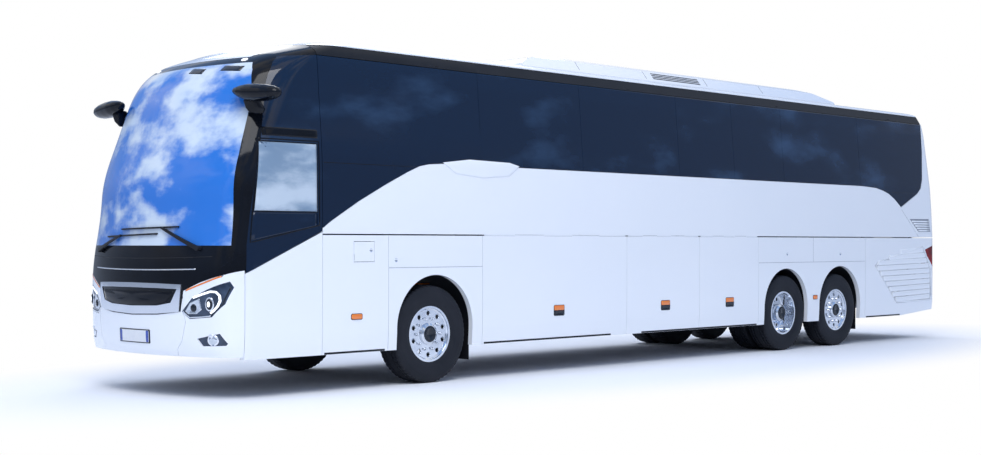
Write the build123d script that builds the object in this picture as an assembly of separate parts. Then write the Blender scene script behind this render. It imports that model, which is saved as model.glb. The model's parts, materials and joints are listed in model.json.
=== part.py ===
from build123d import *
import math
import os

os.makedirs("parts", exist_ok=True)

# Three-axle high-floor touring coach.
# Lengths are in millimetres. While it is built, "station" is the distance from the
# front end along the coach, x is to the coach's left and z is up from the ground.

# Overall
total_length = 13935.0
body_half_width = 1275.0
front_axle_station = 2890.0
wheelbase = 6770.0
bogie_spacing = 1370.0
skirt_bottom = 380.0
waist_height = 1580.0
glass_top = 3375.0
rail_top = 3484.0

# Walls, panes and gaps
wall = 60.0
pane = 8.0
seam = 6.0
door_gap = 8.0
contact_gap = 0.3
running_gap = 0.05

# Body outline, one row per level
# level, half width, nose setback, nose corner radius, tail setback
LEVELS = (
    (380.0, 1262.0, 45.0, 350.0, 20.0),
    (560.0, 1272.0, 8.0, 350.0, 2.0),
    (900.0, 1275.0, 0.0, 350.0, 0.0),
    (1250.0, 1275.0, 8.0, 350.0, 0.0),
    (1580.0, 1275.0, 60.0, 350.0, 4.0),
    (2000.0, 1271.0, 112.0, 348.0, 30.0),
    (2345.0, 1265.0, 202.0, 340.0, 65.0),
    (2850.0, 1225.0, 371.0, 474.0, 115.0),
    (3200.0, 1197.0, 566.0, 518.0, 155.0),
    (3360.0, 1180.0, 803.0, 471.0, 195.0),
    (3490.0, 1137.0, 1169.0, 412.0, 275.0),
)
ROOF_LEVELS = (
    (3490.0, 1137.0, 1169.0, 412.0, 275.0),
    (3525.0, 1103.0, 1378.0, 412.0, 370.0),
    (3550.0, 988.0, 1498.0, 412.0, 480.0),
    (3567.0, 800.0, 1595.0, 412.0, 620.0),
)
nose_radius = 3000.0
tail_corner = 150.0

# Seams along the side
nose_seam = 433.0
door_seam = 1370.0
arch_seam = 2245.0
hold_start = 3630.0
flap_seam_a = 6140.0
flap_seam_b = 7625.0
hold_end = 8966.0
tail_seam = 11760.0
mid_door_start = 7700.0
mid_door_end = 8600.0
mid_door_top = 2300.0

# Lower edge of the dark glass along the side
# station, height
GLASS_EDGE = (
    (1385.0, 1651.0),
    (1467.0, 1707.0),
    (1848.0, 1922.0),
    (2218.0, 2103.0),
    (2520.0, 2240.0),
    (2700.0, 2310.0),
    (2830.0, 2334.0),
    (3030.0, 2346.0),
    (11700.0, 2346.0),
    (12090.0, 2328.0),
    (12290.0, 2294.0),
    (12460.0, 2250.0),
    (12630.0, 2176.0),
    (12830.0, 2052.0),
)
TAIL_EDGE = (
    (12830.0, 2052.0),
    (13350.0, 2271.0),
    (13460.0, 2357.0),
    (13525.0, 2495.0),
    (13585.0, 2943.0),
    (13605.0, 3375.0),
)
# Joints between the panes, and the pillars behind them
PANE_SEAMS = (3630.0, 5340.0, 7220.0, 8430.0, 9610.0, 11650.0)
pillar_half = 50.0
window_sill = 60.0
post_half = 30.0
post_depth = 25.0

# Wheels
tyre_radius = 522.0
tyre_width = 298.0
rim_radius = 290.0
flange_radius = 299.0
wheel_x = 1086.0
twin_spacing = 340.0
spindle_radius = 45.0
hub_radius = 115.0
kingpin_x = 930.0
kingpin_radius = 18.0
knuckle_radius = 35.0
knuckle_half_height = 140.0
fork_thickness = 35.0

# Wheel openings
arch_center_z = 600.0
front_arch_radius = 555.0
drive_arch_radius = 540.0
tag_arch_radius = 560.0
liner_thickness = 6.0
liner_inner_x = 600.0

# Floors
cabin_floor_top = 1360.0
cabin_floor_thickness = 60.0
driver_floor_top = 930.0
hold_floor_top = 425.0
plate = 40.0

drive_axle_station = front_axle_station + wheelbase
tag_axle_station = drive_axle_station + bogie_spacing
axle_height = tyre_radius


def column(rows, index, z):
    """Value of one column of a level table at height z."""
    for low, high in zip(rows, rows[1:]):
        if low[0] <= z <= high[0]:
            share = (z - low[0]) / (high[0] - low[0])
            return low[index] + share * (high[index] - low[index])
    return rows[-1][index] if z > rows[-1][0] else rows[0][index]


def half_width(z):
    return column(LEVELS, 1, z)


def nose_arcs(row, inset):
    """Plan curve of the nose at one level from side to side, and where it meets the sides."""
    z, width, nose, corner, tail = row
    w = width - inset
    s0 = nose + inset
    rn = nose_radius - inset
    rc = corner - inset
    cx = w - rc
    cs = s0 + rn - math.sqrt((rn - rc) ** 2 - cx ** 2)
    turn = math.atan2(cx, s0 + rn - cs)
    tx, ts = rn * math.sin(turn), s0 + rn - rn * math.cos(turn)
    mid = (turn + math.pi / 2) / 2
    mx, ms = cx + rc * math.sin(mid), cs - rc * math.cos(mid)
    arcs = [
        ThreePointArc((w, cs), (mx, ms), (tx, ts)),
        ThreePointArc((tx, ts), (0, s0), (-tx, ts)),
        ThreePointArc((-tx, ts), (-mx, ms), (-w, cs)),
    ]
    return arcs, cs


def tail_arcs(row, inset):
    """Plan curve of the tail at one level from side to side, and where it meets the sides."""
    z, width, nose, corner, tail = row
    w = width - inset
    rt = tail_corner - inset
    s1 = total_length - tail - inset
    d = rt * (1 - math.sqrt(0.5))
    arcs = [
        ThreePointArc((-w, s1 - rt), (-w + d, s1 - d), (-w + rt, s1)),
        Line((-w + rt, s1), (w - rt, s1)),
        ThreePointArc((w - rt, s1), (w - d, s1 - d), (w, s1 - rt)),
    ]
    return arcs, s1 - rt


def nose_ring(row, inset, cut):
    w = row[1] - inset
    arcs, start = nose_arcs(row, inset)
    edges = [Line((w, cut), (w, start))] + arcs + [Line((-w, start), (-w, cut)), Line((-w, cut), (w, cut))]
    return Pos(0, 0, row[0]) * make_face(Wire(edges))


def tail_ring(row, inset, cut):
    w = row[1] - inset
    arcs, end = tail_arcs(row, inset)
    edges = [Line((-w, cut), (-w, end))] + arcs + [Line((w, end), (w, cut)), Line((w, cut), (-w, cut))]
    return Pos(0, 0, row[0]) * make_face(Wire(edges))


def full_ring(row, inset, drop):
    w = row[1] - inset
    front, start = nose_arcs(row, inset)
    rear, end = tail_arcs(row, inset)
    edges = [Line((w, end), (w, start))] + front + [Line((-w, start), (-w, end))] + rear
    return Pos(0, 0, row[0] - drop) * make_face(Wire(edges))


nose_cut = PANE_SEAMS[0] + 70.0
tail_cut = tail_seam - 200.0


def nose_hull(inset):
    """Front of the body below the roof as one closed form, moved in by the inset."""
    return loft([nose_ring(row, inset, nose_cut) for row in LEVELS])


made_hulls = {}


def nose_at(inset):
    if inset not in made_hulls:
        made_hulls[inset] = nose_hull(inset)
    return made_hulls[inset]


def nose_layer(form, outer, inner):
    """What a form holds of the nose between two depths below its skin."""
    return (nose_at(outer) & form) - nose_at(inner)


def tail_hull(inset):
    """Rear of the body below the roof as one closed form, moved in by the inset."""
    return loft([tail_ring(row, inset, tail_cut) for row in LEVELS], ruled=True)


def roof_form(inset):
    return loft([full_ring(row, inset, inset) for row in ROOF_LEVELS])


def side_prism(points, x0, x1):
    """Prism across the coach whose outline is drawn in station and height."""
    face = make_face(Polyline([(x0, s, z) for s, z in points], close=True))
    return extrude(face, amount=x1 - x0, dir=(1, 0, 0))


def front_prism(points, s0, s1):
    """Prism along the coach whose outline is drawn in x and height."""
    face = make_face(Polyline([(x, s0, z) for x, z in points], close=True))
    return extrude(face, amount=s1 - s0, dir=(0, 1, 0))


def plan_prism(points, z0, z1):
    face = make_face(Polyline([(x, s, z0) for x, s in points], close=True))
    return extrude(face, amount=z1 - z0, dir=(0, 0, 1))


def block(x0, x1, s0, s1, z0, z1):
    return Pos((x0 + x1) / 2, (s0 + s1) / 2, (z0 + z1) / 2) * Box(x1 - x0, s1 - s0, z1 - z0)


def barrel(start, end, radius):
    """Round bar between two points."""
    a, b = Vector(*start), Vector(*end)
    return Solid.make_cylinder(radius, (b - a).length, Plane(origin=a, z_dir=b - a))


def side_wall(z0, z1, outer, inner, s0, s1, side):
    """Straight length of side wall between two depths below the outer skin."""
    levels = [z0] + [row[0] for row in LEVELS if z0 < row[0] < z1] + [z1]
    face = [(side * (half_width(z) - outer), z) for z in levels]
    back = [(side * (half_width(z) - inner), z) for z in reversed(levels)]
    return front_prism(face + back, s0, s1)


def side_panel(points, outer, inner, side):
    """Panel of the straight side wall with an outline in station and height."""
    stations = [s for s, z in points]
    heights = [z for s, z in points]
    sheet = side_wall(min(heights), max(heights), outer, inner, min(stations), max(stations), side)
    x0, x1 = (1000, 1400) if side > 0 else (-1400, -1000)
    return sheet & side_prism(points, x0, x1)


def mirrored(shape):
    return mirror(shape, about=Plane.YZ)


def one_side(shape, side):
    return shape & block(*((0, 1500) if side > 0 else (-1500, 0)), -200, 14200, 0, 4000)


def solids(*shapes):
    """Flat list of the solids in several shapes."""
    out = []
    for shape in shapes:
        items = shape if isinstance(shape, (list, tuple)) else [shape]
        for item in items:
            out.extend(item.solids())
    return out


def save(name, *shapes):
    """Write one piece, with the origin on the ground under the middle."""
    items = solids(*shapes)
    shape = items[0] if len(items) == 1 else Compound(children=items)
    export_step(Pos(0, -total_length / 2, 0) * shape, "parts/" + name + ".step", write_pcurves=False)


hinge_radius = 5.0
hinge_web = 9.0
hinge_parts = 5


def hinge(start, end, fixed_dir, moving_dir, parts=hinge_parts):
    """Knuckles along one axis, as those of the fixed leaf and of the moving leaf."""
    a, b = Vector(*start), Vector(*end)
    axis = (b - a).normalized()
    step = (b - a).length / parts
    fixed, moving = [], []
    for i in range(parts):
        low = a + axis * (i * step + contact_gap / 2)
        length = step - contact_gap
        toward = Vector(*(fixed_dir if i % 2 == 0 else moving_dir))
        tube = Solid.make_cylinder(hinge_radius, length, Plane(origin=low, z_dir=axis))
        middle = low + axis * (length / 2) + toward * (hinge_web / 2)
        web = Plane(origin=middle, x_dir=axis, z_dir=toward) * Box(length, hinge_radius, hinge_web)
        (fixed if i % 2 == 0 else moving).append(tube + web)
    return fixed, moving


nose_outer = nose_at(0)
nose_shell = nose_outer - nose_at(wall)
tail_outer = tail_hull(0)
tail_skin = tail_outer - tail_hull(pane)
tail_wall = tail_outer - tail_hull(wall)
edge_half = 6.5
roof_edge = LEVELS[-1][0]
belt_bottom = waist_height + edge_half + 1.0
skirt_top = waist_height - edge_half
hinge_x = body_half_width - hinge_radius

# Front end
windscreen_bottom = 1470.0
SCREEN = ((1190.0, windscreen_bottom), (1145.0, 2347.0), (1100.0, 2761.0), (1031.0, 3051.0), (968.0, 3190.0), (900.0, 3272.0))

screen_outline = [(x, z) for x, z in SCREEN] + [(-x, z) for x, z in reversed(SCREEN)]
screen_form = front_prism(screen_outline, -200, 1250)
lip = 45.0
screen_hole = [(x - lip, z - lip * (z > 3100)) for x, z in SCREEN]
screen_hole[0] = (SCREEN[0][0] - lip, windscreen_bottom + lip)
hole_form = front_prism(screen_hole + [(-x, z) for x, z in reversed(screen_hole)], -200, 1250)
windscreen = nose_layer(screen_form, 0, pane)
save("windscreen", windscreen)

# Black frame round the windscreen, with the pillars beside it
# station, height along the front edge of the side glass
GLASS_FRONT = ((446.0, 1210.0), (455.0, 1470.0), (501.0, 1798.0), (559.0, 2128.0), (644.0, 2499.0), (706.0, 2763.0),
               (783.0, 3051.0), (830.0, 3149.0), (915.0, 3273.0), (989.0, 3338.0), (1093.0, 3346.0))
# half width of the white cap behind the windscreen, by station
CAP = ((-100.0, 760.0), (882.0, 760.0), (1000.0, 800.0), (1180.0, 835.0), (1270.0, 880.0), (1390.0, 925.0), (1600.0, 1060.0))
cap_front = 3340.0
door_top = 2458.0
side_front = list(GLASS_FRONT) + [(door_seam - 3, glass_top - seam)]
driver_glass = side_front + [(door_seam - 3, 1616)]
door_side = [p for p in GLASS_FRONT if p[1] < door_top - 60]
door_front_edge = [(door_side[0][0] + door_gap, 400)] + [(s + door_gap, z) for s, z in door_side] + [(636 + door_gap, door_top - door_gap)]
door_hole = [(door_side[0][0], 300)] + door_side + [(636, door_top), (door_seam - 3, door_top), (door_seam - 3, 300)]
above_door = [(640, door_top + seam)] + [p for p in side_front if p[1] > door_top + seam] + [(door_seam - 3, door_top + seam)]
frame_zone = side_prism([(-100, 1240), (446, 1240), (door_seam - 3, 1640), (door_seam - 3, rail_top + seam), (-100, rail_top + seam)],
                        -1400, 1400)
cap_outline = [(w, s) for s, w in CAP] + [(-w, s) for s, w in reversed(CAP)]
cap_cut = plan_prism([(x + seam / 2 * (1 if x > 0 else -1), s) for x, s in cap_outline], cap_front, 4000)
driver_zone = side_prism(driver_glass, 900, 1400)
above_zone = side_prism(above_door, -1400, -900)
door_zone = side_prism(door_hole, -1400, -900)
mask_top = windscreen_bottom - seam
nose_frame = nose_shell & frame_zone
nose_frame -= front_prism([(-1500, 1200), (1500, 1200), (1500, mask_top), (-1500, mask_top)], -200, 430)
nose_frame -= cap_cut
nose_frame -= windscreen
nose_frame -= hole_form
driver_pane = nose_layer(driver_zone, 0, pane)
above_pane = nose_layer(above_zone, 0, pane)
nose_frame -= driver_pane
nose_frame -= above_pane
nose_frame -= door_zone
driver_opening = [(570, 1780), (612, 2128), (700, 2540), (765, 2763), (850, 3051), (910, 3149), (1000, 3250), (1300, 3290), (1300, 1780)]
nose_frame -= side_prism(driver_opening, 900, 1400)
above_opening = [p for p in driver_opening if p[1] > door_top + 80]
nose_frame -= side_prism([(705, door_top + 80)] + above_opening[:-1] + [(1300, door_top + 80)], -1400, -900)
# the frame is one ring of separate members: pillars below and above, and the head rail
frame_parts = []
frame_levels = (1200.0, 1470.0, 1798.0, 2128.0, 2499.0, 2763.0, 3051.0, 3600.0)
for low, high in zip(frame_levels, frame_levels[1:]):
    frame_parts.append(nose_frame & block(-1500, 1500, -200, 1500, low, high))
save("nose_frame", *frame_parts)

# Black panel, white bumper, lamps
MASK_EDGE = ((1262.0, 1237.0), (1168.0, 1199.0), (940.0, 1125.0), (747.0, 1042.0), (708.0, 840.0),
             (400.0, 806.0), (0.0, 794.0))
front_zone = block(-1400, 1400, -200, nose_seam - 3, 0, 3000)
mask_points = [(1400, 1280)] + list(MASK_EDGE) + [(-x, z) for x, z in reversed(MASK_EDGE[:-1])] + [(-1400, 1280)]
mask_outline = [(1400, mask_top)] + mask_points + [(-1400, mask_top)]
mask_form = front_prism(mask_outline, -200, 1000)
trim_outer = [(722, 1096), (400, 1104), (0, 1107), (-400, 1104), (-722, 1096), (-692, 833), (-400, 810), (0, 798),
              (400, 810), (692, 833)]
trim_inner = [(672, 1052), (400, 1058), (0, 1060), (-400, 1058), (-672, 1052), (-590, 918), (-400, 888), (0, 878),
              (400, 888), (590, 918)]
trim_form = front_prism(trim_outer, -200, 400) - front_prism(trim_inner, -200, 400)
trim_proud = 8.0
front_trim = nose_layer(trim_form, -trim_proud, 2 * trim_proud)
front_mask = nose_shell & (mask_form & front_zone)
front_mask -= nose_layer(trim_form, 0, 2 * trim_proud)
save("front_mask", front_mask)
save("front_trim", front_trim)

LAMP = ((723.0, 837.0), (818.0, 768.0), (1063.0, 790.0), (1175.0, 915.0), (1226.0, 1073.0), (1204.0, 1130.0),
        (1014.0, 1052.0), (851.0, 974.0))
STRIP = ((771.0, 1030.0), (1150.0, 1172.0), (1163.0, 1190.0), (1130.0, 1180.0), (771.0, 1046.0))
FOG = ((894.0, 582.0), (1132.0, 636.0), (1186.0, 541.0), (1174.0, 521.0), (949.0, 512.0))
bumper_bottom = 405.0
bumper_zone = front_prism([(1400, bumper_bottom), (1400, 1280 - seam)] +
                          [(x, z - seam) for x, z in MASK_EDGE] +
                          [(-x, z - seam) for x, z in reversed(MASK_EDGE[:-1])] +
                          [(-1400, 1280 - seam), (-1400, bumper_bottom)], -200, 1000)
bumper = nose_shell & (bumper_zone & front_zone)
lamps = []
fogs = []
for side in (1, -1):
    for outline, found in ((LAMP, lamps), (STRIP, lamps), (FOG, fogs)):
        form = front_prism([(side * x, z) for x, z in outline], -200, 700)
        bumper -= form
        found.append(form & front_zone)
fog_depth = 15.0
front_lamps = [nose_shell & form for form in lamps] + [nose_layer(form, fog_depth, wall) for form in fogs]
SPLIT = ((770.0, 742.0), (724.0, 561.0), (657.0, 473.0), (650.0, 300.0))
center_zone = front_prism([(733, 1300), (733, 837), (764, 742), (718, 561), (651, 473), (644, 300),
                           (-644, 300), (-651, 473), (-718, 561), (-764, 742), (-733, 837), (-733, 1300)], -200, 1000)
bumper_center = bumper & center_zone
corner_zone = front_prism([(739, 1300), (739, 837), (770, 742), (724, 561), (657, 473), (650, 300), (1400, 300),
                           (1400, 1300)], -200, 1000)
bumpers = [bumper_center, bumper & corner_zone, bumper & mirrored(corner_zone)]
save("front_lamps", *front_lamps)

# Side glass
sheets = []
for side in (1, -1):
    side_edge = [(s, z + seam / 2) for s, z in GLASS_EDGE]
    tail_side = [(s - seam / 2, z + seam / 2) for s, z in TAIL_EDGE[1:]]
    tail_side[-1] = (TAIL_EDGE[-1][0] - seam / 2, glass_top - seam)
    starts = (door_seam + 3,) + tuple(s + 2 for s in PANE_SEAMS)
    ends = tuple(s - 2 for s in PANE_SEAMS) + (None,)
    for start, end in zip(starts, ends):
        if end is None:
            low = [(start, 2346 + seam / 2)] + [p for p in side_edge if p[0] > start]
            points = low + tail_side + [(start, glass_top - seam)]
        elif start < 2000:
            low = [(start, 1648)] + [p for p in side_edge if start < p[0] < end] + [(end, 2346 + seam / 2)]
            points = low + [(end, glass_top - seam), (start, glass_top - seam)]
            x0, x1 = (900, 1400) if side > 0 else (-1400, -900)
            sheets.append(nose_layer(side_prism(points, x0, x1), 0, pane))
            continue
        else:
            sill = 2346 + seam / 2
            points = [(start, sill), (end, sill), (end, glass_top - seam), (start, glass_top - seam)]
        sheets.append(side_panel(points, 0, pane, side))
sheets.append(driver_pane)
sheets.append(above_pane)

# Pillars and rails behind the side glass, and the black rail above it
frames = []
rail_bend = 13400.0
for side in (1, -1):
    x0, x1 = (900, 1400) if side > 0 else (-1400, -900)
    first_end = PANE_SEAMS[0] - contact_gap / 2
    sill = 2346 + window_sill
    head = glass_top - 2 * window_sill
    low = [(door_seam + 3, 1648)] + [(s, z + seam / 2) for s, z in GLASS_EDGE if s < first_end] + [(first_end, 2346 + seam / 2)]
    first = nose_layer(side_prism(low + [(first_end, glass_top - seam), (door_seam + 3, glass_top - seam)], x0, x1), pane, wall)
    first -= side_prism([(door_seam + window_sill, 1760), (2200, 2160), (2700, 2370), (3030, sill),
                         (PANE_SEAMS[0] - pillar_half, sill), (PANE_SEAMS[0] - pillar_half, head),
                         (door_seam + window_sill, head)], x0, x1)
    rail = nose_shell & side_prism([(door_seam + 3, glass_top), (first_end, glass_top), (first_end, rail_top), (door_seam + 3, rail_top)],
                                   x0, x1)
    rail -= cap_cut
    frames.append(first)
    frames.append(rail)
    high = [(s - seam / 2, z + seam / 2) for s, z in TAIL_EDGE[1:-1]] + [(TAIL_EDGE[-1][0] - seam / 2, glass_top - seam)]
    rest_start = PANE_SEAMS[0] + contact_gap / 2
    low = [(rest_start, 2346 + seam / 2)] + [(s, z + seam / 2) for s, z in GLASS_EDGE if s > rest_start]
    frame = side_panel(low + high + [(rest_start, glass_top - seam)], pane, wall, side)
    for start, end in zip(PANE_SEAMS, PANE_SEAMS[1:] + (13400.0,)):
        frame -= block(x0, x1, start + pillar_half, end - pillar_half, sill, head)
    # the straight length and the tail length butt on the last pillar
    butt = PANE_SEAMS[-1]
    frames.append(frame & block(x0, x1, rest_start - 10, butt - contact_gap / 2, 1900, 3500))
    frames.append(frame & block(x0, x1, butt + contact_gap / 2, 14000, 1900, 3500))
    rail_end = TAIL_EDGE[-1][0] - seam / 2
    frames.append(side_wall(glass_top, rail_top, 0, wall, rest_start, rail_bend, side))
    frames.append(tail_wall & block(x0, x1, rail_bend, rail_end, glass_top, rail_top))
    # posts of the body, from the floor to the roof edge
    for s in PANE_SEAMS[:-1] + (PANE_SEAMS[-1] + 120.0, 13200.0):
        s0, s1 = s + post_half * 0.1, s + 2 * post_half
        door_post = side < 0 and mid_door_start - door_gap < s1 and s0 < mid_door_end + door_gap
        foot = waist_height + edge_half + 1.0
        post = side_wall(foot, rail_top, wall, wall + post_depth, s0, s1, side)
        if not door_post:
            post += side_wall(cabin_floor_top, foot, wall + door_gap, wall + post_depth, s0, s1, side)
        else:
            post = side_wall(mid_door_top + 2 * door_gap, rail_top, wall, wall + post_depth, s0, s1, side)
        frames.append(post)
    # rail that joins the posts and carries the roof edge
    frames.append(side_wall(rail_top, roof_edge, 20, wall + post_depth, rest_start, rail_bend, side))
    lift = side_prism([(door_seam + 3, rail_top), (first_end, rail_top), (first_end, roof_edge), (door_seam + 3, roof_edge)], x0, x1)
    frames.append(nose_layer(lift, 20, wall) - cap_cut)
save("side_frames", *frames)

# White belt panels between the glass and the flaps
sweep_foot = 13364.0
FLAPS_LEFT = ((hold_start, flap_seam_a), (flap_seam_a, flap_seam_b), (flap_seam_b, hold_end))
FLAPS_RIGHT = ((hold_start, flap_seam_a), (flap_seam_a, flap_seam_b))
belts = []
flap_parts = {}
flap_inset = 30.0
for side, name, flaps in ((1, "left", FLAPS_LEFT), (-1, "right", FLAPS_RIGHT)):
    low = [(door_seam + 3, belt_bottom), (door_seam + 3, 1642)]
    edge = [(s, z - seam / 2) for s, z in GLASS_EDGE]
    belt = side_panel(low + edge + [(sweep_foot, belt_bottom)], 0, wall, side)
    if side < 0:
        belt -= block(-1400, -1000, mid_door_start - door_gap, mid_door_end + door_gap, 1000,
                      mid_door_top + door_gap)
    for number, (start, end) in enumerate(flaps, 1):
        panel = side_wall(skirt_bottom, skirt_top, 0, wall, start + seam / 2, end - seam / 2, side)
        fixed, moving = hinge((side * hinge_x, start + flap_inset, waist_height),
                              (side * hinge_x, end - flap_inset, waist_height), (0, 0, 1), (0, 0, -1))
        for piece in fixed:
            belt += piece
        for piece in moving:
            panel += piece
        flap_parts["luggage_flap_" + name + "_" + str(number)] = panel
    if side < 0:
        cuts = (1000.0, mid_door_start - door_gap, mid_door_end + door_gap, 14000.0)
        for start, end in zip(cuts, cuts[1:]):
            belts.append(belt & block(-1400, -1000, start, end, 1000, 3000))
    else:
        belts.append(belt)
save("belt_panels", *belts)
for name, panel in flap_parts.items():
    save(name, panel)

# Lower side panels that stay in place
FUEL = (1779.0, 2048.0, 1305.0, 1507.0)


def arch_cut(station, radius, side):
    x0, x1 = (1000, 1400) if side > 0 else (-1400, -1000)
    round_part = barrel((x0, station, arch_center_z), (x1, station, arch_center_z), radius)
    return round_part + block(x0, x1, station - radius, station + radius, 0, arch_center_z)


ARCHES = (
    (front_axle_station + 30, front_arch_radius),
    (drive_axle_station - 10, drive_arch_radius),
    (tag_axle_station + 25, tag_arch_radius),
)
LOUVRE = ((12692.0, 570.0), (12034.0, 1151.0), (12146.0, 1222.0), (13501.0, 1445.0), (13800.0, 1070.0),
          (13800.0, 610.0))
skirts = []
for side in (1, -1):
    x0, x1 = (1000, 1400) if side > 0 else (-1400, -1000)
    if side > 0:
        first = side_prism([(nose_seam + 3, skirt_bottom), (nose_seam + 3, 1200), (door_seam - 3, 1604),
                            (door_seam - 3, skirt_bottom)], 900, 1400)
        skirts.append(nose_shell & first)
    panel = side_wall(skirt_bottom, skirt_top, 0, wall, door_seam + 3, arch_seam - 3, side)
    if side > 0:
        panel -= block(x0, x1, FUEL[0] - 5, FUEL[1] + 5, FUEL[2] - 5, FUEL[3] + 5)
    skirts.append(panel)
    panel = side_wall(skirt_bottom, skirt_top, 0, wall, arch_seam + 3, hold_start - 3, side)
    skirts.append(panel - arch_cut(ARCHES[0][0], ARCHES[0][1], side))
    rear_start = hold_end + 3 if side > 0 else mid_door_end + door_gap
    panel = side_wall(skirt_bottom, skirt_top, 0, wall, rear_start, tail_seam - 3, side)
    for station, radius in ARCHES[1:]:
        panel -= arch_cut(station, radius, side)
    skirts.append(panel)
    if side < 0:
        skirts.append(side_wall(skirt_bottom, skirt_top, 0, wall, flap_seam_b + 3, mid_door_start - door_gap, side))
fuel_x = body_half_width - hinge_radius
fuel_panel = side_wall(FUEL[2], FUEL[3], 0, 20, FUEL[0], FUEL[1], 1)
fixed, moving = hinge((fuel_x, FUEL[0] - 8, FUEL[2] + 20), (fuel_x, FUEL[0] - 8, FUEL[3] - 20), (0, -1, 0), (0, 1, 0), 3)
for piece in fixed:
    skirts[1] += piece
skirts[1] -= block(1000, 1400, FUEL[0] - 14, FUEL[0], FUEL[2] + 20 + 54, FUEL[3] - 20 - 54)
for piece in moving:
    fuel_panel += piece
fuel_panel -= block(1000, 1400, FUEL[0] - 1, FUEL[0] + 6, FUEL[2] + 15, FUEL[2] + 20 + 54)
save("fuel_flap", fuel_panel)

# Tail: side corners with grille and lamp openings, rear door, upper shell
tail_zone = side_prism([(tail_seam + 3, skirt_bottom), (12840, skirt_bottom), (14200, 475), (14200, skirt_top),
                        (tail_seam + 3, skirt_top)], -1400, 1400)
rear_half = 900.0
rear_mid = block(-rear_half - 3, rear_half + 3, 13500, 14200, 0, 1900)
tail_lower = (tail_wall & tail_zone) - rear_mid
tail_lamp_form = side_prism([(13547, 1384), (14200, 1555), (14200, 1000), (13930, 1023)], -1400, 1400)
tail_lamp_form -= block(-980, 980, 13000, 14400, 900, 1700)
grille_form = side_prism(LOUVRE, -1400, 1400)
tail_lower -= tail_lamp_form
tail_lower -= grille_form
for side in (1, -1):
    skirts.append(one_side(tail_lower, side))
save("skirts", *skirts)
save("tail_lamps", tail_wall & tail_lamp_form)

grille_depth = 14.0
slat_pitch = 105.0
slat_gap = 45.0
grille_sheet = ((tail_hull(grille_depth) - tail_hull(grille_depth + 25)) & grille_form) - tail_lamp_form
slots = []
for i in range(6):
    z = 640.0 + i * slat_pitch
    slots.append(side_prism([(12500 + i * 40, z - 120), (13790, z), (13790, z + slat_gap), (12440 + i * 40, z - 120 + slat_gap)],
                            -1400, 1400))
inside_louvre = [(12710.0, 610.0), (12100.0, 1152.0), (12160.0, 1190.0), (13480.0, 1405.0), (13760.0, 1055.0),
                 (13760.0, 630.0)]
slot_zone = side_prism(inside_louvre, -1400, 1400)
for slot in slots:
    grille_sheet -= slot & slot_zone
grilles = [one_side(grille_sheet, side) for side in (1, -1)]
save("engine_grilles", *grilles)

rear_split = 706.0
rear_bumper = tail_wall & block(-rear_half, rear_half, 13500, 14200, 430, rear_split - 3)
save("bumpers", *bumpers, rear_bumper)
engine_door = tail_wall & block(-rear_half, rear_half, 13500, 14200, rear_split + 3, skirt_top)
hinge_s = total_length - 4 - hinge_radius
fixed, moving = hinge((-rear_half + 40, hinge_s, waist_height), (rear_half - 40, hinge_s, waist_height),
                      (0, 0, 1), (0, 0, -1))
for piece in moving:
    engine_door += piece
save("engine_door", engine_door)
tail_upper_zone = side_prism([(12836, 2046)] + [(s + seam / 2, z - seam / 2) for s, z in TAIL_EDGE[1:-1]] +
                             [(TAIL_EDGE[-1][0] + seam / 2, roof_edge), (14200, roof_edge),
                              (14200, belt_bottom), (sweep_foot + 8, belt_bottom)], -1400, 1400)
rear_window_form = front_prism([(-950, 2420), (950, 2420), (900, 3260), (-900, 3260)], 13400, 14200)
rear_hole_form = front_prism([(-905, 2465), (905, 2465), (855, 3215), (-855, 3215)], 13300, 14200)
tail_shell = tail_wall & tail_upper_zone
rear_pane = tail_skin & rear_window_form
tail_shell -= rear_pane
tail_shell -= rear_hole_form
for piece in fixed:
    tail_shell += piece
save("tail_shell", tail_shell)
sheets.append(rear_pane)
save("side_glass", *sheets)

# Roof
roof_inner = roof_form(wall)
roof = roof_form(0) - roof_inner
cap_form = plan_prism([(x - seam / 2 * (1 if x > 0 else -1), s) for x, s in cap_outline], cap_front + seam / 2, roof_edge - contact_gap)
cap = nose_shell & cap_form
save("roof", roof, cap)
unit_base = roof_edge + 10
UNIT = ((4580.0, 3592.0), (4720.0, 3656.0), (4886.0, 3692.0), (5440.0, 3732.0), (6990.0, 3756.0), (8280.0, 3765.0),
        (10390.0, 3748.0), (10860.0, 3700.0), (11350.0, 3588.0))
unit_side = side_prism([(4580, unit_base)] + list(UNIT) + [(11350, unit_base)], -1100, 1100)
UNIT_SECTION = ((1004.0, unit_base), (1000.0, 3560.0), (900.0, 3690.0), (800.0, 3728.0), (500.0, 3755.0), (0.0, 3766.0))
unit_front = front_prism(list(UNIT_SECTION) + [(-x, z) for x, z in reversed(UNIT_SECTION[:-1])], 4500, 11400)
roof_unit = (unit_side & unit_front) - roof_form(0)
save("roof_unit", roof_unit)

# Floors, steps and luggage hold
inner_x = body_half_width - wall - contact_gap
floor_z = cabin_floor_top - cabin_floor_thickness
stair_x = -560.0
cabin_start = 1950.0
floor = block(-inner_x, inner_x, cabin_start, 13300, floor_z, cabin_floor_top)
floor -= block(-1400, stair_x, mid_door_start, mid_door_end, 1000, 1500)
flap_clear = 6.0
flap_edge = body_half_width - wall - flap_clear
floor -= block(flap_edge, 1400, hold_start - 3, hold_end + 3, 1000, 1500)
floor -= block(-1400, -flap_edge, hold_start - 3, flap_seam_b + 3, 1000, 1500)
low_floor = block(-430, half_width(driver_floor_top - plate) - wall - contact_gap, 520, cabin_start, driver_floor_top - plate, driver_floor_top)
low_floor += block(-430, 1190, cabin_start - plate, cabin_start, driver_floor_top - plate, cabin_floor_top)
floor_parts = [floor & block(-1400, 1400, a, b, 1000, 1500)
               for a, b in ((cabin_start, mid_door_start), (mid_door_start, mid_door_end), (mid_door_end, 13300))]
save("floors", *floor_parts, low_floor)
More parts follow.
